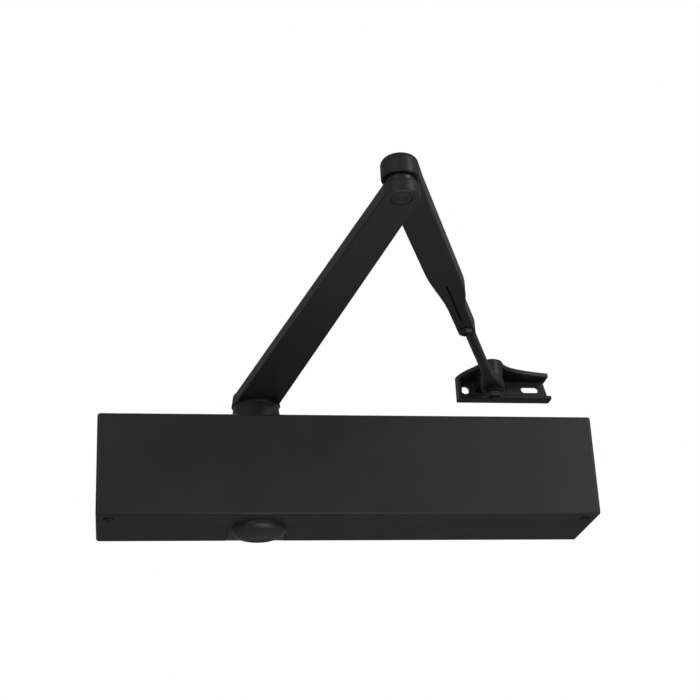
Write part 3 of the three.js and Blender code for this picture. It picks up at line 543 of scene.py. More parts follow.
# %% Satin black
def make_satin_black():
    black, rubbed, dusty = (0.0205, 0.0205, 0.021), (0.085, 0.086, 0.088), (0.11, 0.105, 0.098)
    material, tree, shader = start_material("satin black coat", black, 0.46, 0.0, specular=0.42)
    tone = use(tree, patches, Size_mm=60.0)
    deep = blend_colour(tree, tone.outputs["Value"], black, (0.0245, 0.0245, 0.025))
    wear = use(tree, edge_wear, Width_mm=0.45, Breakup_mm=2.6, Amount=0.5)
    settled = use(tree, dust, Amount=0.10, Fleck_mm=1.8)
    colour = blend_colour(tree, wear.outputs["Mask"], deep, rubbed)
    colour = blend_colour(tree, settled.outputs["Mask"], colour, dusty)
    tree.links.new(colour, shader.inputs["Base Color"])
    gloss = use(tree, patches, Size_mm=38.0, Low=0.41, High=0.50)
    shine = maths(tree, "MULTIPLY", wear.outputs["Mask"], 0.12)
    tree.links.new(maths(tree, "SUBTRACT", gloss.outputs["Value"], shine), shader.inputs["Roughness"])
    grain = use(tree, coat_grain, Peel_size_mm=1.5, Tooth_size_mm=0.3, Tooth_share=0.35)
    press(tree, shader, grain.outputs["Height"], 0.012, 0.8)
    return material


finishes = {"satin_black": make_satin_black()}
print("first finish:", finishes["satin_black"].name)


# %% [markdown]
# The body is iron poured in sand. Its skin keeps the sand's grain under a thin dark primer, with bare
# metal only where it was machined or rubbed.

# %% Cast iron
def make_cast_iron():
    primer, bare = (0.040, 0.042, 0.045), (0.22, 0.215, 0.21)
    material, tree, shader = start_material("primed cast iron", primer, 0.62, 0.35)
    tone = use(tree, patches, Size_mm=22.0)
    deep = blend_colour(tree, tone.outputs["Value"], primer, (0.058, 0.058, 0.060))
    wear = use(tree, edge_wear, Width_mm=0.9, Breakup_mm=4.0, Amount=0.8)
    tree.links.new(blend_colour(tree, wear.outputs["Mask"], deep, bare), shader.inputs["Base Color"])
    vary_gloss(tree, shader, 9.0, 0.52, 0.72)
    sand = use(tree, coat_grain, Peel_size_mm=2.2, Tooth_size_mm=0.7, Tooth_share=0.9)
    press(tree, shader, sand.outputs["Height"], 0.09, 0.9)
    return material


finishes["cast_iron"] = make_cast_iron()
print(len(finishes), "finishes")


# %% [markdown]
# Steel parts come in two kinds: bright zinc over turned or pressed steel, and dark oil-tempered spring
# wire. The regulating screws are turned brass, slightly dulled by oil. All three are metal with fine lines
# in the direction they were worked, so one function makes them.

# %% Worked metal
def make_worked_metal(name, light, dark, dull, roughness, along, line_mm, tone_mm, haze, gloss, depth_mm):
    """Fine lines from dark to light under dull patches. gloss is a size and the two ends of the roughness."""
    material, tree, shader = start_material(name, light, roughness, 1.0)
    lines = use(tree, brushing, Along=along, Line_mm=line_mm)
    tone = use(tree, patches, Size_mm=tone_mm)
    marked = blend_colour(tree, lines.outputs["Value"], dark, light)
    hazed = blend_colour(tree, maths(tree, "MULTIPLY", tone.outputs["Value"], haze), marked, dull)
    tree.links.new(hazed, shader.inputs["Base Color"])
    vary_gloss(tree, shader, *gloss)
    press(tree, shader, lines.outputs["Height"], depth_mm, 0.5)
    return material


def make_steel(name, light, dark, roughness, along, line_mm):
    gloss = (7.0, roughness - 0.07, roughness + 0.09)
    return make_worked_metal(name, light, dark, dark, roughness, along, line_mm, 14.0, 0.35, gloss, 0.004)


zinc_light, zinc_dark = (0.56, 0.56, 0.55), (0.36, 0.36, 0.35)
wire_light, wire_dark = (0.15, 0.15, 0.16), (0.07, 0.07, 0.078)
bright, dark, dull = (0.66, 0.47, 0.19), (0.54, 0.38, 0.15), (0.36, 0.25, 0.11)
finishes["zinc_steel"] = make_steel("zinc plated steel", zinc_light, zinc_dark, 0.36, (1.0, 1.0, 0.05), 0.2)
finishes["spring_steel"] = make_steel("oiled spring steel", wire_light, wire_dark, 0.34, (0.2, 1.0, 1.0), 0.3)
finishes["brass"] = make_worked_metal(
    "turned brass", bright, dark, dull, 0.3, (1.0, 0.15, 0.15), 0.14, 5.0, 0.4, (3.0, 0.24, 0.4), 0.003
)
print(len(finishes), "finishes")


# %% [markdown]
# Two black polymers finish the list: matt rubber for the seals, and the moulded cap over the spare spindle
# end, which is the glossiest thing on the closer.

# %% Rubber and moulded nylon
def make_polymer(name, colour, low, high, peel_mm, depth_mm, worn):
    material, tree, shader = start_material(name, colour, low, 0.0)
    vary_gloss(tree, shader, 12.0, low, high)
    wear = use(tree, edge_wear, Width_mm=0.4, Breakup_mm=2.0, Amount=worn)
    pale = tuple(4 * c for c in colour)
    tree.links.new(blend_colour(tree, wear.outputs["Mask"], colour, pale), shader.inputs["Base Color"])
    grain = use(tree, coat_grain, Peel_size_mm=peel_mm, Tooth_size_mm=0.2, Tooth_share=0.3)
    press(tree, shader, grain.outputs["Height"], depth_mm, 0.6)
    return material


finishes["rubber"] = make_polymer("nitrile rubber", (0.016, 0.016, 0.016), 0.68, 0.85, 0.8, 0.02, 0.1)
finishes["cap_black"] = make_polymer("moulded nylon", (0.030, 0.030, 0.031), 0.27, 0.36, 3.0, 0.006, 0.25)
print(len(finishes), "finishes")


# %% [markdown]
# ## Fitting a piece
# A finished piece needs four things: its place, its finish, the body it moves with, and the CAD solids it
# stands for. One function does all four, and shades it smooth with crisp corners kept.

# %% Fit a piece to the frame
slots = {part["node"]: part["material_slot"] for part in frame["record"]["subparts"]}
carriers = {node: body for body, nodes in frame["record"]["behaviour"]["bodies"].items() for node in nodes}
made = []


def smooth(obj, crisp):
    """Smooth shading that keeps corners sharper than this many degrees and leaves flat faces flat."""
    obj.data.shade_smooth()
    obj.data.set_sharp_from_angle(angle=math.radians(crisp))
    weigh = obj.modifiers.new("normals", "WEIGHTED_NORMAL")
    weigh.keep_sharp = True


def fit(obj, node, place=None, crisp=38):
    """Puts a fine piece in the place of a CAD node, with that node's finish and on that node's body."""
    if place is not None:
        obj.matrix_world = place
    obj.data.materials.clear()
    obj.data.materials.append(finishes[slots[node]])
    smooth(obj, crisp)
    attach(obj, carriers[node])
    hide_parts(node)
    made.append(obj)
    print(f"{obj.name}: {len(obj.data.polygons)} faces, rides {carriers[node]}")
    return obj


# %% [markdown]
# ## The cover
# The cover is one sheet folded into a long open box that hides the body and is open toward the door. We
# start from the closed outer box, round the folds, open its back and give the skin its thickness inwards,
# so the outside stays exactly where the CAD has it. A slot from the open side lets it slide past the
# spindle towers.

# %% Fold the sheet
SHEET, FOLD = 1.6, 1.9
boss_low, boss_high = box_mm("pinion_cap")
notch_radius = (boss_high.x - boss_low.x) / 2 + GAP


def fold_cover():
    bm = bmesh.new()
    bmesh.ops.create_cube(bm, size=1.0)
    centre, size = (cover_low + cover_high) / 2, cover_high - cover_low
    bmesh.ops.scale(bm, vec=size, verts=bm.verts)
    bmesh.ops.translate(bm, vec=centre, verts=bm.verts)
    back = cover_high.y
    folds = [e for e in bm.edges if not all(abs(v.co.y - back) < 1e-3 for v in e.verts)]
    bmesh.ops.bevel(bm, geom=folds, offset=FOLD, segments=6, profile=0.5, affect="EDGES")
    opening = [f for f in bm.faces if all(abs(v.co.y - back) < 1e-3 for v in f.verts)]
    bmesh.ops.delete(bm, geom=opening, context="FACES")
    shell = to_object("cover_sheet", bm)
    skin = shell.modifiers.new("sheet", "SOLIDIFY")
    skin.thickness = SHEET * MM
    skin.offset = -1
    skin.use_even_offset = True
    return settle(shell)


cover = fold_cover()
print("sheet", SHEET, "mm, fold radius", FOLD, "mm")

# %% Slot and screw holes
SCREW_HOLE = 2.2
half_height = cover_high.z
slot_outline = arc(spindle.x, axis_y, notch_radius, 180, 360, 40) + [
    (spindle.x + notch_radius, 5),
    (spindle.x - notch_radius, 5),
]
cut(cover, plate("slot", slot_outline, -half_height - 2, half_height + 2))
for side in ("left", "right"):
    x, y, _ = middle_mm(f"cover_screw_{side}")
    cut(cover, shift(drum("hole", SCREW_HOLE, -half_height - 2, -half_height + SHEET + 2, 40), x, y))
break_edges(cover, 0.22, 2, 50)
fit(cover, "cover")

# %% [markdown]
# ## Screws
# Most fixings here are pan heads with a cross recess. The head is a turned dome on a shank, and the recess
# is two crossed wedges cut into it, a little narrower at the bottom, as a punch leaves it.


# %% A pan-head screw
def pan_screw(name, head_radius, head_height, shank_radius, length):
    """Made along +Z: the head is below z = 0 and the shank goes up."""
    crown = [(head_radius * math.sin(a), -head_height * math.cos(a)) for a in (0.0, 0.35, 0.7, 0.95, 1.2)]
    profile = [(0, -head_height)] + crown[1:] + [(head_radius, -0.15 * head_height), (head_radius, 0)]
    profile += [(shank_radius, 0), (shank_radius, length - 0.5), (shank_radius - 0.5, length), (0, length)]
    screw = turned(name, profile, 64)
    wing, half = head_radius * 0.55, head_radius * 0.13
    for left, near in ((wing, half), (half, wing)):
        recess = block("recess", -left, left, -near, near, -head_height - 1, -head_height * 0.25)
        cut(screw, recess)
    return break_edges(screw, 0.07, 2, 40)


COVER_HEAD, COVER_SHANK, BRACKET_HEAD, BRACKET_SHANK = 1.1, 1.9, 2.2, 2.0
for side, quarter in (("left", 24), ("right", -31)):
    node = f"cover_screw_{side}"
    (low, high), (x, y, _) = box_mm(node), middle_mm(node)
    length = high.z - low.z - COVER_HEAD
    screw = pan_screw(f"{node}_fine", (high.x - low.x) / 2, COVER_HEAD, COVER_SHANK, length)
    fit(swing(screw, "Z", quarter, (x, y, low.z + COVER_HEAD)), node)
    for level in ("lower", "upper"):
        node = f"bracket_screw_{side}_{level}"
        (low, high), (x, _, z) = box_mm(node), middle_mm(node)
        length = high.y - low.y - BRACKET_HEAD
        screw = pan_screw(f"{node}_fine", (high.x - low.x) / 2, BRACKET_HEAD, BRACKET_SHANK, length)
        fit(swing(screw, "X", -90, (x, low.y + BRACKET_HEAD, z)), node)

# %% [markdown]
# ## The spindle cap
# Below the cover the unused spindle end is hidden by a moulded cap: a short rim, a low dome and a flat end,
# hollow from above. A flat tongue on it closes the slot behind, flush with the cover.

# %% Mould the cap
DOME, CAP_WALL, CAP_END = 6.3, 1.8, 8.6
cap_outer, cap_top, cap_end = notch_radius - 1.0, boss_high.z, boss_low.z
rim_end = cap_end + DOME
cap_profile = [(0, cap_end + 0.25), (CAP_END - 1.6, cap_end + 0.25)]
cap_profile += [(CAP_END - 1.2, cap_end), (CAP_END - 0.6, cap_end)]
for a in range(90, -1, -6):
    across, fall = math.cos(math.radians(a)), math.sin(math.radians(a))
    cap_profile.append((CAP_END + (cap_outer - CAP_END) * across, rim_end - (DOME - 0.5) * fall))
cap_profile += [(cap_outer, cap_top - 0.3), (cap_outer - 0.3, cap_top), (cap_outer - CAP_WALL, cap_top)]
cap_profile += [(cap_outer - CAP_WALL, rim_end), (CAP_END, cap_end + CAP_WALL), (0, cap_end + CAP_WALL)]
pinion_cap = turned("pinion_cap_fine", cap_profile, 128)
tongue_back = boss_high.y - axis_y
close, loose = notch_radius - 0.15, notch_radius - 0.75
tongue_outline = arc(0, 0, close, 180, 205, 8) + arc(0, 0, loose, 212, 328, 36)
tongue_outline += arc(0, 0, close, 335, 360, 8) + [(close, tongue_back), (-close, tongue_back)]
tongue = plate("tongue", tongue_outline, cover_low.z, cover_low.z + SHEET)
cut(tongue, drum("room", cap_outer - CAP_WALL, cover_low.z - 2, cap_top + 2, 128))
weld(pinion_cap, tongue)
break_edges(pinion_cap, 0.15, 2, 50)
fit(pinion_cap, "pinion_cap", place=spindle_frame, crisp=50)

# %% [markdown]
# ## The main arm
# The main arm is a flat forged bar that tapers toward the elbow, with a round hub that drops over the
# square end of the spindle. A plate with rounded edges and a turned hub, welded into one, is the simplest
# way to the same shape.

# %% Forge the bar and hub
hub_low, arm_top = (corner.z for corner in box_mm("main_arm"))
ARM_THICK, ARM_ROOT, ARM_TIP = 7.5, 14.25, 9.3
HUB_RADIUS, HUB_TOP, FILLET = 16.0, 14.6, 1.6
arm_bottom = arm_top - ARM_THICK
bar_outline = [(0, -ARM_ROOT)] + arc(arm_length, 0, ARM_TIP, -90, 90, 32) + [(0, ARM_ROOT)]
main_arm = plate("main_arm_fine", bar_outline, arm_bottom, arm_top, top=1.3, bottom=1.3, segments=4)
HUB_FOOT, HUB_CROWN = 1.4, 1.2
hub_profile = [(0, hub_low), (HUB_RADIUS - HUB_FOOT, hub_low)]
hub_profile += arc(HUB_RADIUS - HUB_FOOT, hub_low + HUB_FOOT, HUB_FOOT, -75, 0, 5)
hub_profile += [(HUB_TOP, arm_bottom - FILLET)]
hub_profile += arc(HUB_TOP + FILLET, arm_bottom - FILLET, FILLET, 180, 110, 6)
hub_profile += [(HUB_TOP + 0.8, arm_bottom + 1)]
hub_profile += arc(HUB_TOP - HUB_CROWN, arm_top - HUB_CROWN, HUB_CROWN, 0, 90, 5) + [(0, arm_top)]
weld(main_arm, turned("hub", hub_profile, 128))
print("hub", HUB_RADIUS * 2, "mm across,", round(arm_top - hub_low, 1), "mm high")

# %% Broach the square and sink the elbow's hole
SQUARE = 12.0
square = block("square", -SQUARE / 2, SQUARE / 2, -SQUARE / 2, SQUARE / 2, hub_low - 2, arm_top + 2)
arm_turn = math.degrees(math.atan2(elbow.y - spindle.y, elbow.x - spindle.x))
cut(main_arm, swing(square, "Z", -arm_turn))
PIN_RADIUS, PIN_HEAD, SINK = 4.0, 5.2, 2.4
sink = [(0, arm_bottom - 2), (PIN_HEAD + GAP, arm_bottom - 2), (PIN_HEAD + GAP, arm_bottom)]
sink += [(PIN_RADIUS + GAP, arm_bottom + SINK), (PIN_RADIUS + GAP, arm_top + 2), (0, arm_top + 2)]
cut(main_arm, shift(turned("sink", sink, 64), arm_length))
fit(main_arm, "main_arm", place=arm_frame, crisp=30)


# %% [markdown]
# ## The arm's screw and washer
# A hexagon-head screw pulls the hub down on the square. Hexagon heads and nuts are made by intersecting a
# hexagonal bar with a turned form, because that is exactly how the rounded corners of a real one arise.

# %% Hexagon heads
def hexagon_head(name, across_flats, low, high, chamfer, both=False):
    head = plate(name, hexagon(across_flats), low, high)
    corner = across_flats / math.sqrt(3)
    flat = across_flats / 2 - 0.1
    foot = [(flat, low), (corner + 0.1, low + chamfer)] if both else [(corner + 0.1, low)]
    form = turned("form", [(0, low)] + foot + [(corner + 0.1, high - chamfer), (flat, high), (0, high)], 96)
    return combine(head, [form], "INTERSECT")


def washer(node, hole, radius, softness, segments, place):
    """A flat ring with softened edges, between the CAD washer's two faces."""
    low, high = box_mm(node)
    piece = ring(f"{node}_fine", hole, radius, low.z, high.z)
    return fit(break_edges(piece, softness, segments), node, place=place)


screw_low, screw_high = box_mm("arm_screw")
head_low = box_mm("arm_washer")[1].z + GAP
arm_screw = hexagon_head("arm_screw_fine", 13.0, head_low, screw_high.z, 1.3)
weld(arm_screw, drum("shank", 3.3, screw_low.z, head_low + 0.5, 48))
break_edges(arm_screw, 0.12, 2)
fit(arm_screw, "arm_screw", place=arm_frame)
washer("arm_washer", 3.6, 11.0, 0.35, 3, arm_frame)

# %% [markdown]
# ## The elbow
# The elbow turns on a pin whose head is sunk flush in the underside of the main arm. A dark washer keeps
# the bars apart and a spring ring holds the top.

# %% Pin, washer and ring
pin_low, pin_high = box_mm("elbow_pin")
pin_profile = [(0, pin_low.z), (2.2, pin_low.z), (2.5, pin_low.z + 0.35), (2.8, pin_low.z)]
pin_profile += [(PIN_HEAD - 0.5, pin_low.z), (PIN_HEAD - 0.25, pin_low.z + 0.15)]
pin_profile += [(PIN_RADIUS, arm_bottom + SINK)]
pin_profile += [(PIN_RADIUS, pin_high.z - 0.9), (PIN_RADIUS - 0.5, pin_high.z - 0.2)]
pin_profile += [(PIN_RADIUS - 0.9, pin_high.z), (0, pin_high.z)]
elbow_pin = shift(turned("elbow_pin_fine", pin_profile, 64), arm_length)
fit(elbow_pin, "elbow_pin", place=arm_frame)

low, high = box_mm("elbow_washer")
washer("elbow_washer", PIN_RADIUS + GAP, (high.x - low.x) / 2, 0.4, 3, forearm_frame)

low, high = box_mm("elbow_clip")
elbow_clip = ring("elbow_clip_fine", PIN_RADIUS + 0.15, 7.0, low.z, high.z)
cut(elbow_clip, block("mouth", -2.2, 2.2, -9, 0, low.z - 1, high.z + 1))
for side in (-1, 1):
    cut(elbow_clip, shift(drum("notch", 1.3, low.z - 1, high.z + 1, 32), side * 5.4, 2.2))
break_edges(elbow_clip, 0.15, 2)
fit(elbow_clip, "elbow_clip", place=forearm_frame)

# %% [markdown]
# ## The forearm
# The forearm is a forged bar with a rounded back and a flat sole. It keeps its width for half its length,
# draws in through two unequal shoulders, and ends in a slim nose that grips the rod: a saw cut lets the
# nose close when the clamp screw is tightened.

# %% Forge the forearm
fore_low, fore_high = box_mm("forearm")
FORE_RADIUS, FORE_HALF, NOSE_HALF, FORE_LENGTH = 9.4, 8.9, 5.1, 199.0
NEAR, FAR, NOSE, BACK_ROUND = 106, 130, 163, 4.0
fore_outline = arc(0, 0, FORE_RADIUS, 90, 270, 32) + [(14, -FORE_HALF), (FAR, -FORE_HALF)]
fore_outline += sweep((FAR, -FORE_HALF), (FAR + 16, -FORE_HALF), (NOSE - 14, -NOSE_HALF), (NOSE, -NOSE_HALF))
fore_outline += arc(FORE_LENGTH - NOSE_HALF, 0, NOSE_HALF, -90, 90, 20) + [(NOSE, NOSE_HALF)]
fore_outline += sweep((NOSE, NOSE_HALF), (NOSE - 24, NOSE_HALF), (NEAR + 20, FORE_HALF), (NEAR, FORE_HALF))
fore_outline += [(14, FORE_HALF)]
forearm = plate("forearm_fine", fore_outline, fore_low.z, fore_high.z, top=BACK_ROUND, bottom=0.7, segments=7)
print("forearm", FORE_LENGTH, "mm, nose", NOSE_HALF * 2, "mm wide")

# %% Drill and saw it
rod_low, rod_high = box_mm("rod")
eye_low, eye_high = rod_low.z, rod_high.z
rod_z = (eye_low + eye_high) / 2
ROD_RADIUS, ROD_START, CLAMP_X = 3.25, 108.0, FORE_LENGTH - 11
cut(forearm, drum("pin hole", PIN_RADIUS + GAP, fore_low.z - 2, fore_high.z + 2, 64))
cut(forearm, drum("clip seat", 7.3, box_mm("elbow_clip")[0].z - GAP, fore_high.z + 2))
cut(forearm, lying_drum("rod hole", ROD_RADIUS + GAP, ROD_START - 24, FORE_LENGTH + 5, 0, rod_z, 48))
SEAM_START, SEAM_END, SEAM_HALF, SEAM_DEPTH = 126, 175, 0.7, 2.6
seam = arc(SEAM_START, 0, SEAM_HALF, 90, 270, 8) + arc(SEAM_END, 0, SEAM_HALF, -90, 90, 8)
cut(forearm, plate("seam", seam, fore_low.z - 2, fore_low.z + SEAM_DEPTH))
cut(forearm, shift(drum("clamp hole", 2.7, fore_low.z - 2, rod_z, 40), CLAMP_X))
break_edges(forearm, 0.2, 2, 40)
fit(forearm, "forearm", place=forearm_frame, crisp=40)

# %% [markdown]
# The clamp screw comes up from below and closes the saw cut on the rod. It is a small hexagon head on a
# shank, with a socket for a key.

# %% Clamp screw
low, high = box_mm("clamp_screw")
CLAMP_SEAT = 2.6
clamp = hexagon_head("clamp_screw_fine", 7.0, low.z, low.z + CLAMP_SEAT, 0.5, both=True)
weld(clamp, drum("shank", 2.4, low.z + CLAMP_SEAT - 0.5, high.z, 40))
cut(clamp, plate("socket", hexagon(3.0), low.z - 1, low.z + 1.8))
break_edges(clamp, 0.1, 2)
swing(clamp, "Z", 12, (CLAMP_X, 0, 0))
fit(clamp, "clamp_screw", place=forearm_frame)

# %% [markdown]
# ## The rod
# The rod slides in the forearm's nose to set the closer on the door. Its end is forged flat into an eye,
# and the neck swells smoothly from round bar to eye.

# %% Forge the rod
EYE_RADIUS, NECK, NECK_EASE = 7.8, 30.0, 12.0
neck_x = reach - NECK
ease = [(neck_x, ROD_RADIUS), (neck_x + NECK_EASE, ROD_RADIUS)]
ease += [(reach - NECK_EASE, EYE_RADIUS - 2), (reach - 2, EYE_RADIUS)]
eye_outline = [(neck_x, -ROD_RADIUS)] + sweep(*[(x, -y) for x, y in ease])
eye_outline += arc(reach, 0, EYE_RADIUS, -88, 88, 28) + sweep(*reversed(ease))
rod = plate("rod_fine", eye_outline, eye_low, eye_high, top=1.6, bottom=1.6, segments=4)
bar_profile = [(0, ROD_START), (ROD_RADIUS - 0.6, ROD_START), (ROD_RADIUS, ROD_START + 0.6)]
bar_profile += [(ROD_RADIUS, neck_x + 4), (ROD_RADIUS - 1.2, neck_x + 8), (0, neck_x + 8)]
weld(rod, swing(turned("bar", bar_profile, 64), "Y", 90, (0, 0, rod_z)))
cut(rod, shift(drum("eye hole", 3.9, eye_low - 2, eye_high + 2, 64), reach))
fit(rod, "rod", place=forearm_frame, crisp=32)

# %% [markdown]
# ## The shoe
# The shoe fixes the arm to the door frame. It is a small casting: a bell-shaped flange over the pivot, a
# plate against the frame, a lip below and a boss with two ribs. We weld the rough parts, melt them into one
# skin so that every inside corner gets its fillet, and then drill it, because drilled holes stay crisp.

# %% Model the rough shoe
shoe_low, shoe_high = box_mm("shoe")
left, right = shoe_low.x - pivot.x, shoe_high.x - pivot.x
back = shoe_high.y - pivot.y
SHOE_PLATE, SHOE_FLANGE, LIP, LIP_DEPTH, END_WALL, TAPER, NOSE_R = 3.2, 3.0, 2.6, 9.0, 2.4, 4.0, 7.7
flange_low = shoe_high.z - SHOE_FLANGE
flare = right - 2
bell = [(left, back), (left, back - 4)]
bell += sweep((left, back - 4), (left + 3, back - 18), (-NOSE_R - 1, NOSE_R - 1.4), (-NOSE_R, 0))
bell += arc(0, 0, NOSE_R, 180, 347, 28)[1:]
nose_end = bell[-1]
bell += sweep(nose_end, (NOSE_R + 3, NOSE_R - 3.4), (2 * NOSE_R, back - 18), (flare, back - 12))
bell += [(flare, back)]
shoe = plate("shoe_fine", bell, flange_low, shoe_high.z)
face_top = shoe_high.z - 0.5
face = [(left, shoe_low.z), (right, shoe_low.z), (right - TAPER, face_top), (left, face_top)]
weld(shoe, swing(plate("plate", face, -back, -back + SHOE_PLATE), "X", 90))
weld(shoe, block("lip", left, right, back - LIP_DEPTH, back - 1, shoe_low.z, shoe_low.z + LIP))
weld(shoe, block("end", left, left + END_WALL, back - LIP_DEPTH, back - 1, shoe_low.z + 1, flange_low + 1))
RIB_X, RIB_HALF = 5, 1.3
boss_profile = [(0, eye_high + GAP), (6.3, eye_high + GAP), (6.8, eye_high + 0.8)]
boss_profile += [(7.5, flange_low + 1), (0, flange_low + 1)]
weld(shoe, turned("boss", boss_profile, 72))
for side in (-1, 1):
    rib = side * RIB_X
    weld(shoe, block("rib", rib - RIB_HALF, rib + RIB_HALF, 2, back - 1, eye_high + 1.5, flange_low + 1))
print("rough shoe", round(right - left, 1), "mm long")

# %% Melt, then drill
as_cast(shoe, 0.42, 4)
HOLE_Z, SLOT_Z = shoe_low.z + 8.4, shoe_low.z + 9.0
HOLE_X, SLOT_LEFT, SLOT_RIGHT, SLOT_RADIUS = -12.5, 28.7, 36.3, 2.4
round_hole = drum("round", 3.0, -back - 2, -back + SHOE_PLATE + 6, 40)
cut(shoe, swing(round_hole, "X", 90, (HOLE_X, 0, HOLE_Z)))
slot_shape = arc(SLOT_RIGHT, SLOT_Z, SLOT_RADIUS, -90, 90, 12)
slot_shape += arc(SLOT_LEFT, SLOT_Z, SLOT_RADIUS, 90, 270, 12)
cut(shoe, swing(plate("slot", slot_shape, -back - 2, -back + SHOE_PLATE + 2), "X", 90))
cut(shoe, drum("bolt", 3.75, eye_high - 2, shoe_high.z + 2, 48))
fit(shoe, "shoe", place=shoe_frame, crisp=50)

# %% [markdown]
# A pin hangs from the top of the shoe through the rod's eye, and a washer and a nut hold it from below.
# All three are turned, except the nut's six flats.

# %% The shoe's pin, washer and nut
low, high = box_mm("shoe_pin")
head = shoe_high.z + GAP
pin_profile = [(0, low.z), (3.0, low.z), (3.6, low.z + 0.6), (3.6, head), (6.0, head), (6.0, head + 0.25)]
pin_profile += [(5.6, high.z - 0.12), (5.0, high.z), (0, high.z)]
fit(turned("shoe_pin_fine", pin_profile, 64), "shoe_pin", place=shoe_frame)
washer("shoe_washer", 3.9, 6.6, 0.2, 2, shoe_frame)
low, high = box_mm("shoe_nut")
shoe_nut = hexagon_head("shoe_nut_fine", 10.0, low.z, high.z, 0.6, both=True)
cut(shoe_nut, drum("thread", 3.75, low.z - 1, high.z + 1, 48))
fit(break_edges(shoe_nut, 0.1, 2), "shoe_nut", place=shoe_frame)

# %% [markdown]
# ## The body
# Behind the cover sits the casting: a long tube for the piston, a tower for the spindle, two ribs that
# carry the regulating screws, a pad that bears on the door and four ears for its screws. Like the shoe it is
# melted first and machined after: the bore, the lands and the holes are cut into the finished skin.

# %% Cast the body
cast_low, cast_high = box_mm("body_casting")
half_body = cast_high.x - 14
TUBE, PAD, EAR, RIB_Z, RIB_SIZE = 25.0, 19.0, 6.0, 21.65, 6.75
body = lying_drum("body_casting_fine", TUBE, -half_body, half_body, axis_y, 0)
weld(body, block("pad", -half_body, half_body, -10, 0, -PAD, PAD))
for side in (-1, 1):
    weld(body, block("ear", *reach_out(side, half_body - 18, cast_high.x), -EAR, 0, -26, 26))
    low, high = side * RIB_Z - RIB_SIZE, side * RIB_Z + RIB_SIZE
    weld(body, block("rib", -half_body + 6, half_body - 6, -53, -39.5, low, high))
weld(body, shift(drum("tower", 17.5, cast_low.z, cast_high.z), spindle.x, axis_y))
as_cast(body, 1.15, 4)
print("raw casting", len(body.data.polygons), "faces")

# %% Machine the body
BORE, CAP_SEAT, BEARING_SEAT, LEDGE, VALVE_HOLE, VALVE_Y = 19.0, 21.3, 13.0, 11.5, 3.4, -46.25
EAR_X, EAR_MOUNT_Z, EAR_SCREW_Z = 143.5, 9.5, 20


def ear_holes(obj, ear_x, mount_radius, screw_radius, low, high, sides):
    """Two holes for the mounting screws and two for the bracket's own screws, drilled along Y."""
    for z, radius in ((EAR_MOUNT_Z, mount_radius), (EAR_SCREW_Z, screw_radius)):
        for level in (-z, z):
            cut(obj, swing(drum("ear hole", radius, low, high, sides), "X", -90, (ear_x, 0, level)))


cut(body, lying_drum("bore", BORE, -half_body - 2, half_body + 2, axis_y, 0))
for side in (-1, 1):
    cut(body, lying_drum("cap seat", CAP_SEAT, *reach_out(side, half_body - 14.5, half_body + 2), axis_y, 0))
    cut(body, block("relief", *reach_out(side, 15, half_body - 15), -1.5, 3, -13, 13))
    ear_holes(body, side * EAR_X, 3.5, 2.3, -12, 4, 32)
    step = reach_out(side, cast_high.z - 10, cast_high.z + 2)
    cut(body, shift(drum("bearing seat", BEARING_SEAT, *step), spindle.x, axis_y))
cut(body, shift(drum("ledge", LEDGE, cast_low.z - 2, cast_high.z + 2), spindle.x, axis_y))
for side, up in ((-1, -1), (-1, 1), (1, -1)):
    ends = reach_out(side, half_body - 36, half_body + 2)
    cut(body, lying_drum("valve hole", VALVE_HOLE, *ends, VALVE_Y, up * RIB_Z, 32))
fit(body, "body_casting", crisp=42)

# %% [markdown]
# ## The cover's brackets
# Two pressed channels sit on the ears and carry the cover's screws. Bent sheet has a round fold outside
# and inside, so the outline is drawn with both.

# %% Bend the brackets
def bracket_outline(near, far, half, sheet, fold):
    """A channel seen along X: the web stands at far, the legs reach to near. Points are (y, z)."""
    outer, inner = fold, fold - sheet * 0.6
    points = [(near, -half)] + arc(far - outer, -half + outer, outer, -90, 0, 6)
    points += arc(far - outer, half - outer, outer, 0, 90, 6) + [(near, half), (near, half - sheet)]
    points += arc(far - sheet - inner, half - sheet - inner, inner, 90, 0, 6)
    points += arc(far - sheet - inner, -half + sheet + inner, inner, 0, -90, 6) + [(near, -half + sheet)]
    return points


BRACKET_SHEET, BRACKET_FOLD = 2.0, 2.4
stand_up = Matrix(((0, 0, 1, 0), (1, 0, 0, 0), (0, 1, 0, 0), (0, 0, 0, 1)))
for side in ("left", "right"):
    low, high = box_mm(f"cover_bracket_{side}")
    outline = bracket_outline(low.y, high.y, high.z, BRACKET_SHEET, BRACKET_FOLD)
    channel = plate(f"cover_bracket_{side}_fine", outline, low.x, high.x)
    channel.data.transform(stand_up)
    ear_holes(channel, math.copysign(EAR_X, low.x), 4.2, 2.3, -14, 0, 40)
    x, y, _ = middle_mm(f"cover_screw_{side}")
    cut(channel, shift(drum("tapped", SCREW_HOLE, low.z - 1, low.z + 3, 32), x, y))
    break_edges(channel, 0.15, 2)
    fit(channel, f"cover_bracket_{side}")

# %% [markdown]
# ## The gland nuts
# A flanged nut closes each spindle tower. The upper one shows between the cover and the hub.

# %% Gland nuts
for side, label in ((1, "top"), (-1, "bottom")):
    low, high = box_mm(f"gland_nut_{label}")
    outer_z, inner_z = max(abs(low.z), abs(high.z)), min(abs(low.z), abs(high.z))
    nut = hexagon_head(f"gland_nut_{label}_fine", 25.0, outer_z - 3, outer_z, 0.9, both=True)
    weld(nut, drum("skirt", 12.7, inner_z, outer_z - 1))
    cut(nut, drum("seat", 11.5, inner_z - 1, inner_z + 2.7), drum("way", 8.5, inner_z - 1, outer_z + 1))
    break_edges(nut, 0.15, 2)
    if side < 0:
        swing(nut, "X", 180)
    fit(nut, f"gland_nut_{label}", place=spindle_frame)

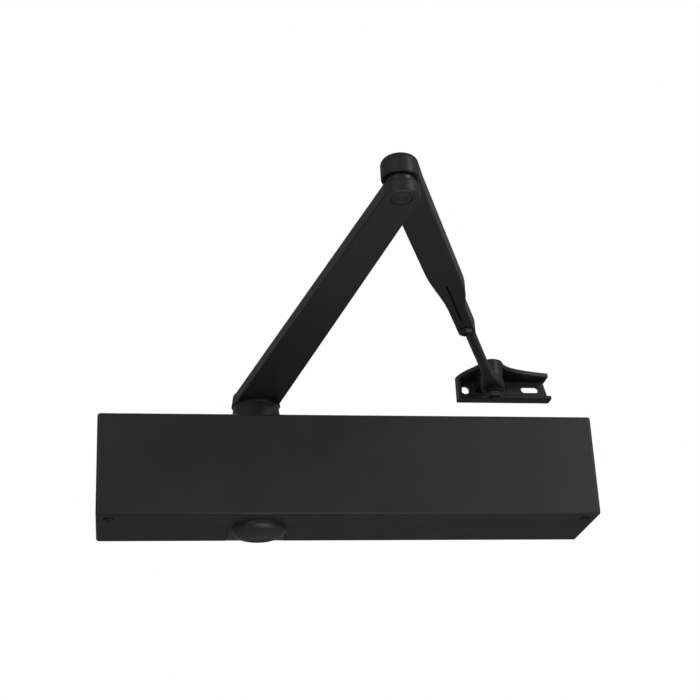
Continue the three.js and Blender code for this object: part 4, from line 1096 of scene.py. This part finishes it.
# %% [markdown]
# ## The spring
# The main spring is one wire wound round the bore's axis, with its end coils closed up. It is drawn as a
# tube along a helix. Two parts press on it: the piston on one end and the spring seat on the other. A piece
# can only be set to shorten with one joint. The wire is drawn in two halves that meet in the middle, each
# named for the part that presses on its end, and both ride the spring's body.

# %% The helix
WIRE, TURNS, CLOSED = 5.5, 12, 1.2
COIL_STEPS, WIRE_SIDES = 32, 14
spring_low, spring_high = box_mm("main_spring")
coil_radius = (spring_high.z - spring_low.z - WIRE) / 2
spring_length = spring_high.x - spring_low.x - WIRE
closed_pitch = WIRE * 1.02
open_pitch = (spring_length - 2 * CLOSED * closed_pitch) / (TURNS - 2 * CLOSED)


def along_spring(turn):
    """How far along the axis the wire has travelled after that many turns."""
    tail = max(0.0, turn - (TURNS - CLOSED))
    middle = max(0.0, min(turn, TURNS - CLOSED) - CLOSED)
    return (min(turn, CLOSED) + tail) * closed_pitch + middle * open_pitch


def ring_of_wire(bm, turn):
    """One round section of the wire, as far round the helix as that many turns."""
    angle = 2 * math.pi * turn
    out = Vector((0, math.cos(angle), math.sin(angle)))
    centre = Vector((spring_low.x + WIRE / 2 + along_spring(turn), axis_y, 0)) + out * coil_radius
    around = [2 * math.pi * k / WIRE_SIDES for k in range(WIRE_SIDES)]
    spokes = [out * math.cos(a) + Vector((math.sin(a), 0, 0)) for a in around]
    return [bm.verts.new(centre + spoke * WIRE / 2) for spoke in spokes]


def wind(name, first_turn, last_turn):
    bm = bmesh.new()
    steps = round((last_turn - first_turn) * COIL_STEPS)
    rings = [ring_of_wire(bm, first_turn + i / COIL_STEPS) for i in range(steps + 1)]
    for one, two in zip(rings, rings[1:]):
        for k in range(WIRE_SIDES):
            j = (k + 1) % WIRE_SIDES
            bm.faces.new((one[k], one[j], two[j], two[k]))
    bm.faces.new(rings[0])
    bm.faces.new(rings[-1])
    return to_object(name, bm)


print(f"{TURNS} turns of {WIRE} mm wire, {open_pitch:.1f} mm apart")

# %% Wind both halves
halves = (("piston", "piston_slide", 0, TURNS / 2), ("seat", "seat_slide", TURNS / 2, TURNS))
for end, joint, first_turn, last_turn in halves:
    half = fit(wind(f"main_spring_{end}_half", first_turn, last_turn), "main_spring", crisp=60)
    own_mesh(half)

# %% [markdown]
# ## The inner parts
# What is left is hidden inside, and its CAD shape is right. A copy of the CAD mesh stands for each of these
# solids: the copy gets a finish, a fine bevel and smooth shading, and the CAD solid itself is not touched.

# %% Copy and finish the inner parts
INNER_BEVEL = 0.18
inner = [name for name, obj in sorted(frame["nodes"].items()) if not obj.hide_render]
for name in inner:
    node = frame["nodes"][name]
    twin = bpy.data.objects.new(f"{name}_fine", node.data.copy())
    bpy.context.scene.collection.objects.link(twin)
    edges = twin.modifiers.new("edges", "BEVEL")
    edges.width = INNER_BEVEL * MM
    edges.segments = 2
    edges.limit_method = "ANGLE"
    edges.angle_limit = math.radians(40)
    fit(twin, name, place=node.matrix_world.copy(), crisp=28)
print(len(inner), "inner parts copied:", ", ".join(inner))

# %% [markdown]
# ## The studio
# A pale floor lies well below the closer, as under a part held up for a picture. The sky is white where
# the camera looks at it and dimmer as a light source, so that a black part keeps its shape.

# %% Floor
def pale_floor():
    """Matt and pale where the camera sees it; what it throws back on the closer is only its plain colour."""
    material, tree, shader = start_material("pale floor", (0.5, 0.5, 0.5), 0.9, 0.0)
    shader.inputs["Emission Color"].default_value = (1, 1, 1, 1)
    path = tree.nodes.new("ShaderNodeLightPath").outputs["Is Camera Ray"]
    tree.links.new(maths(tree, "MULTIPLY", path, 0.75), shader.inputs["Emission Strength"])
    return material


bm = bmesh.new()
bmesh.ops.create_grid(bm, x_segments=1, y_segments=1, size=80000)
floor = to_object("floor", bm)
floor.location.z = -1.1
floor.data.materials.append(pale_floor())
floor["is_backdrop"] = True

# %% Sky
world = bpy.data.worlds.new("studio")
bpy.context.scene.world = world
world.use_nodes = True
sky = world.node_tree
seen, felt = sky.nodes["Background"], sky.nodes.new("ShaderNodeBackground")
seen.inputs["Color"].default_value = (1, 1, 1, 1)
felt.inputs["Color"].default_value = (1, 1, 1, 1)
felt.inputs["Strength"].default_value = 0.22
choose, path = sky.nodes.new("ShaderNodeMixShader"), sky.nodes.new("ShaderNodeLightPath")
sky.links.new(path.outputs["Is Camera Ray"], choose.inputs[0])
sky.links.new(felt.outputs[0], choose.inputs[1])
sky.links.new(seen.outputs[0], choose.inputs[2])
sky.links.new(choose.outputs[0], sky.nodes["World Output"].inputs["Surface"])
bpy.context.scene.view_settings.view_transform = "Standard"
print("sky ready")


# %% [markdown]
# A black part is drawn by what it reflects, so the lamps are large and weak. The key and side lamps light
# the cover's right, the fill its left, the back lamp the top edges, and the one below the arms.

# %% Lamps
def lamp(name, place, target, size, watts):
    light = bpy.data.lights.new(name, "AREA")
    light.shape = "DISK"
    light.size = size
    light.energy = watts
    obj = bpy.data.objects.new(name, light)
    bpy.context.scene.collection.objects.link(obj)
    obj.location = place
    obj.rotation_mode = "QUATERNION"
    obj.rotation_quaternion = (Vector(target) - Vector(place)).to_track_quat("-Z", "Y")
    obj.visible_camera = False


middle = (frame_low + frame_high) / 2
lamp("key", (1.0, -1.1, 0.6), middle, 0.5, 3.4)
lamp("side", (0.95, -1.0, 0.12), middle, 0.2, 2.2)
lamp("fill", (-0.9, -1.4, 0.2), middle, 0.9, 3.5)
lamp("under", (0.06, -0.30, -0.22), (0.06, -0.22, 0.06), 0.4, 0.36)
lamp("back", (0.1, 1.0, 1.4), middle, 0.8, 4.0)
print("5 lamps")

# %% [markdown]
# ## The camera
# The closer is seen from in front, below and a little to the left, with a lens just longer than normal.

# %% Camera
YAW, PITCH, ROLL = 0.1659, 0.4029, -0.0500
forward = Vector((math.sin(YAW) * math.cos(PITCH), math.cos(YAW) * math.cos(PITCH), math.sin(PITCH)))
level = Vector((math.cos(YAW), -math.sin(YAW), 0))
above = level.cross(forward)
across = level * math.cos(ROLL) + above * math.sin(ROLL)
upright = above * math.cos(ROLL) - level * math.sin(ROLL)
view = bpy.data.cameras.new("view")
view.lens = 77.55
view.sensor_width = 36
camera = bpy.data.objects.new("view", view)
bpy.context.scene.collection.objects.link(camera)
camera.matrix_world = Matrix.Translation(Vector((-143.57, -926.53, -299.56)) * MM) @ Matrix(
    (across, upright, -forward)
).transposed().to_4x4()
bpy.context.scene.camera = camera
print("camera at", tuple(round(c, 3) for c in camera.location))

# %% [markdown]
# ## The size against the CAD
# How far the looks reach past the CAD's box.

# %% Compare the boxes
low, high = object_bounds()
growth = [max(frame_low[i] - low[i], high[i] - frame_high[i]) / MM for i in range(3)]
print("grows by at most", round(max(growth), 2), "mm;", len(made), "fine pieces")
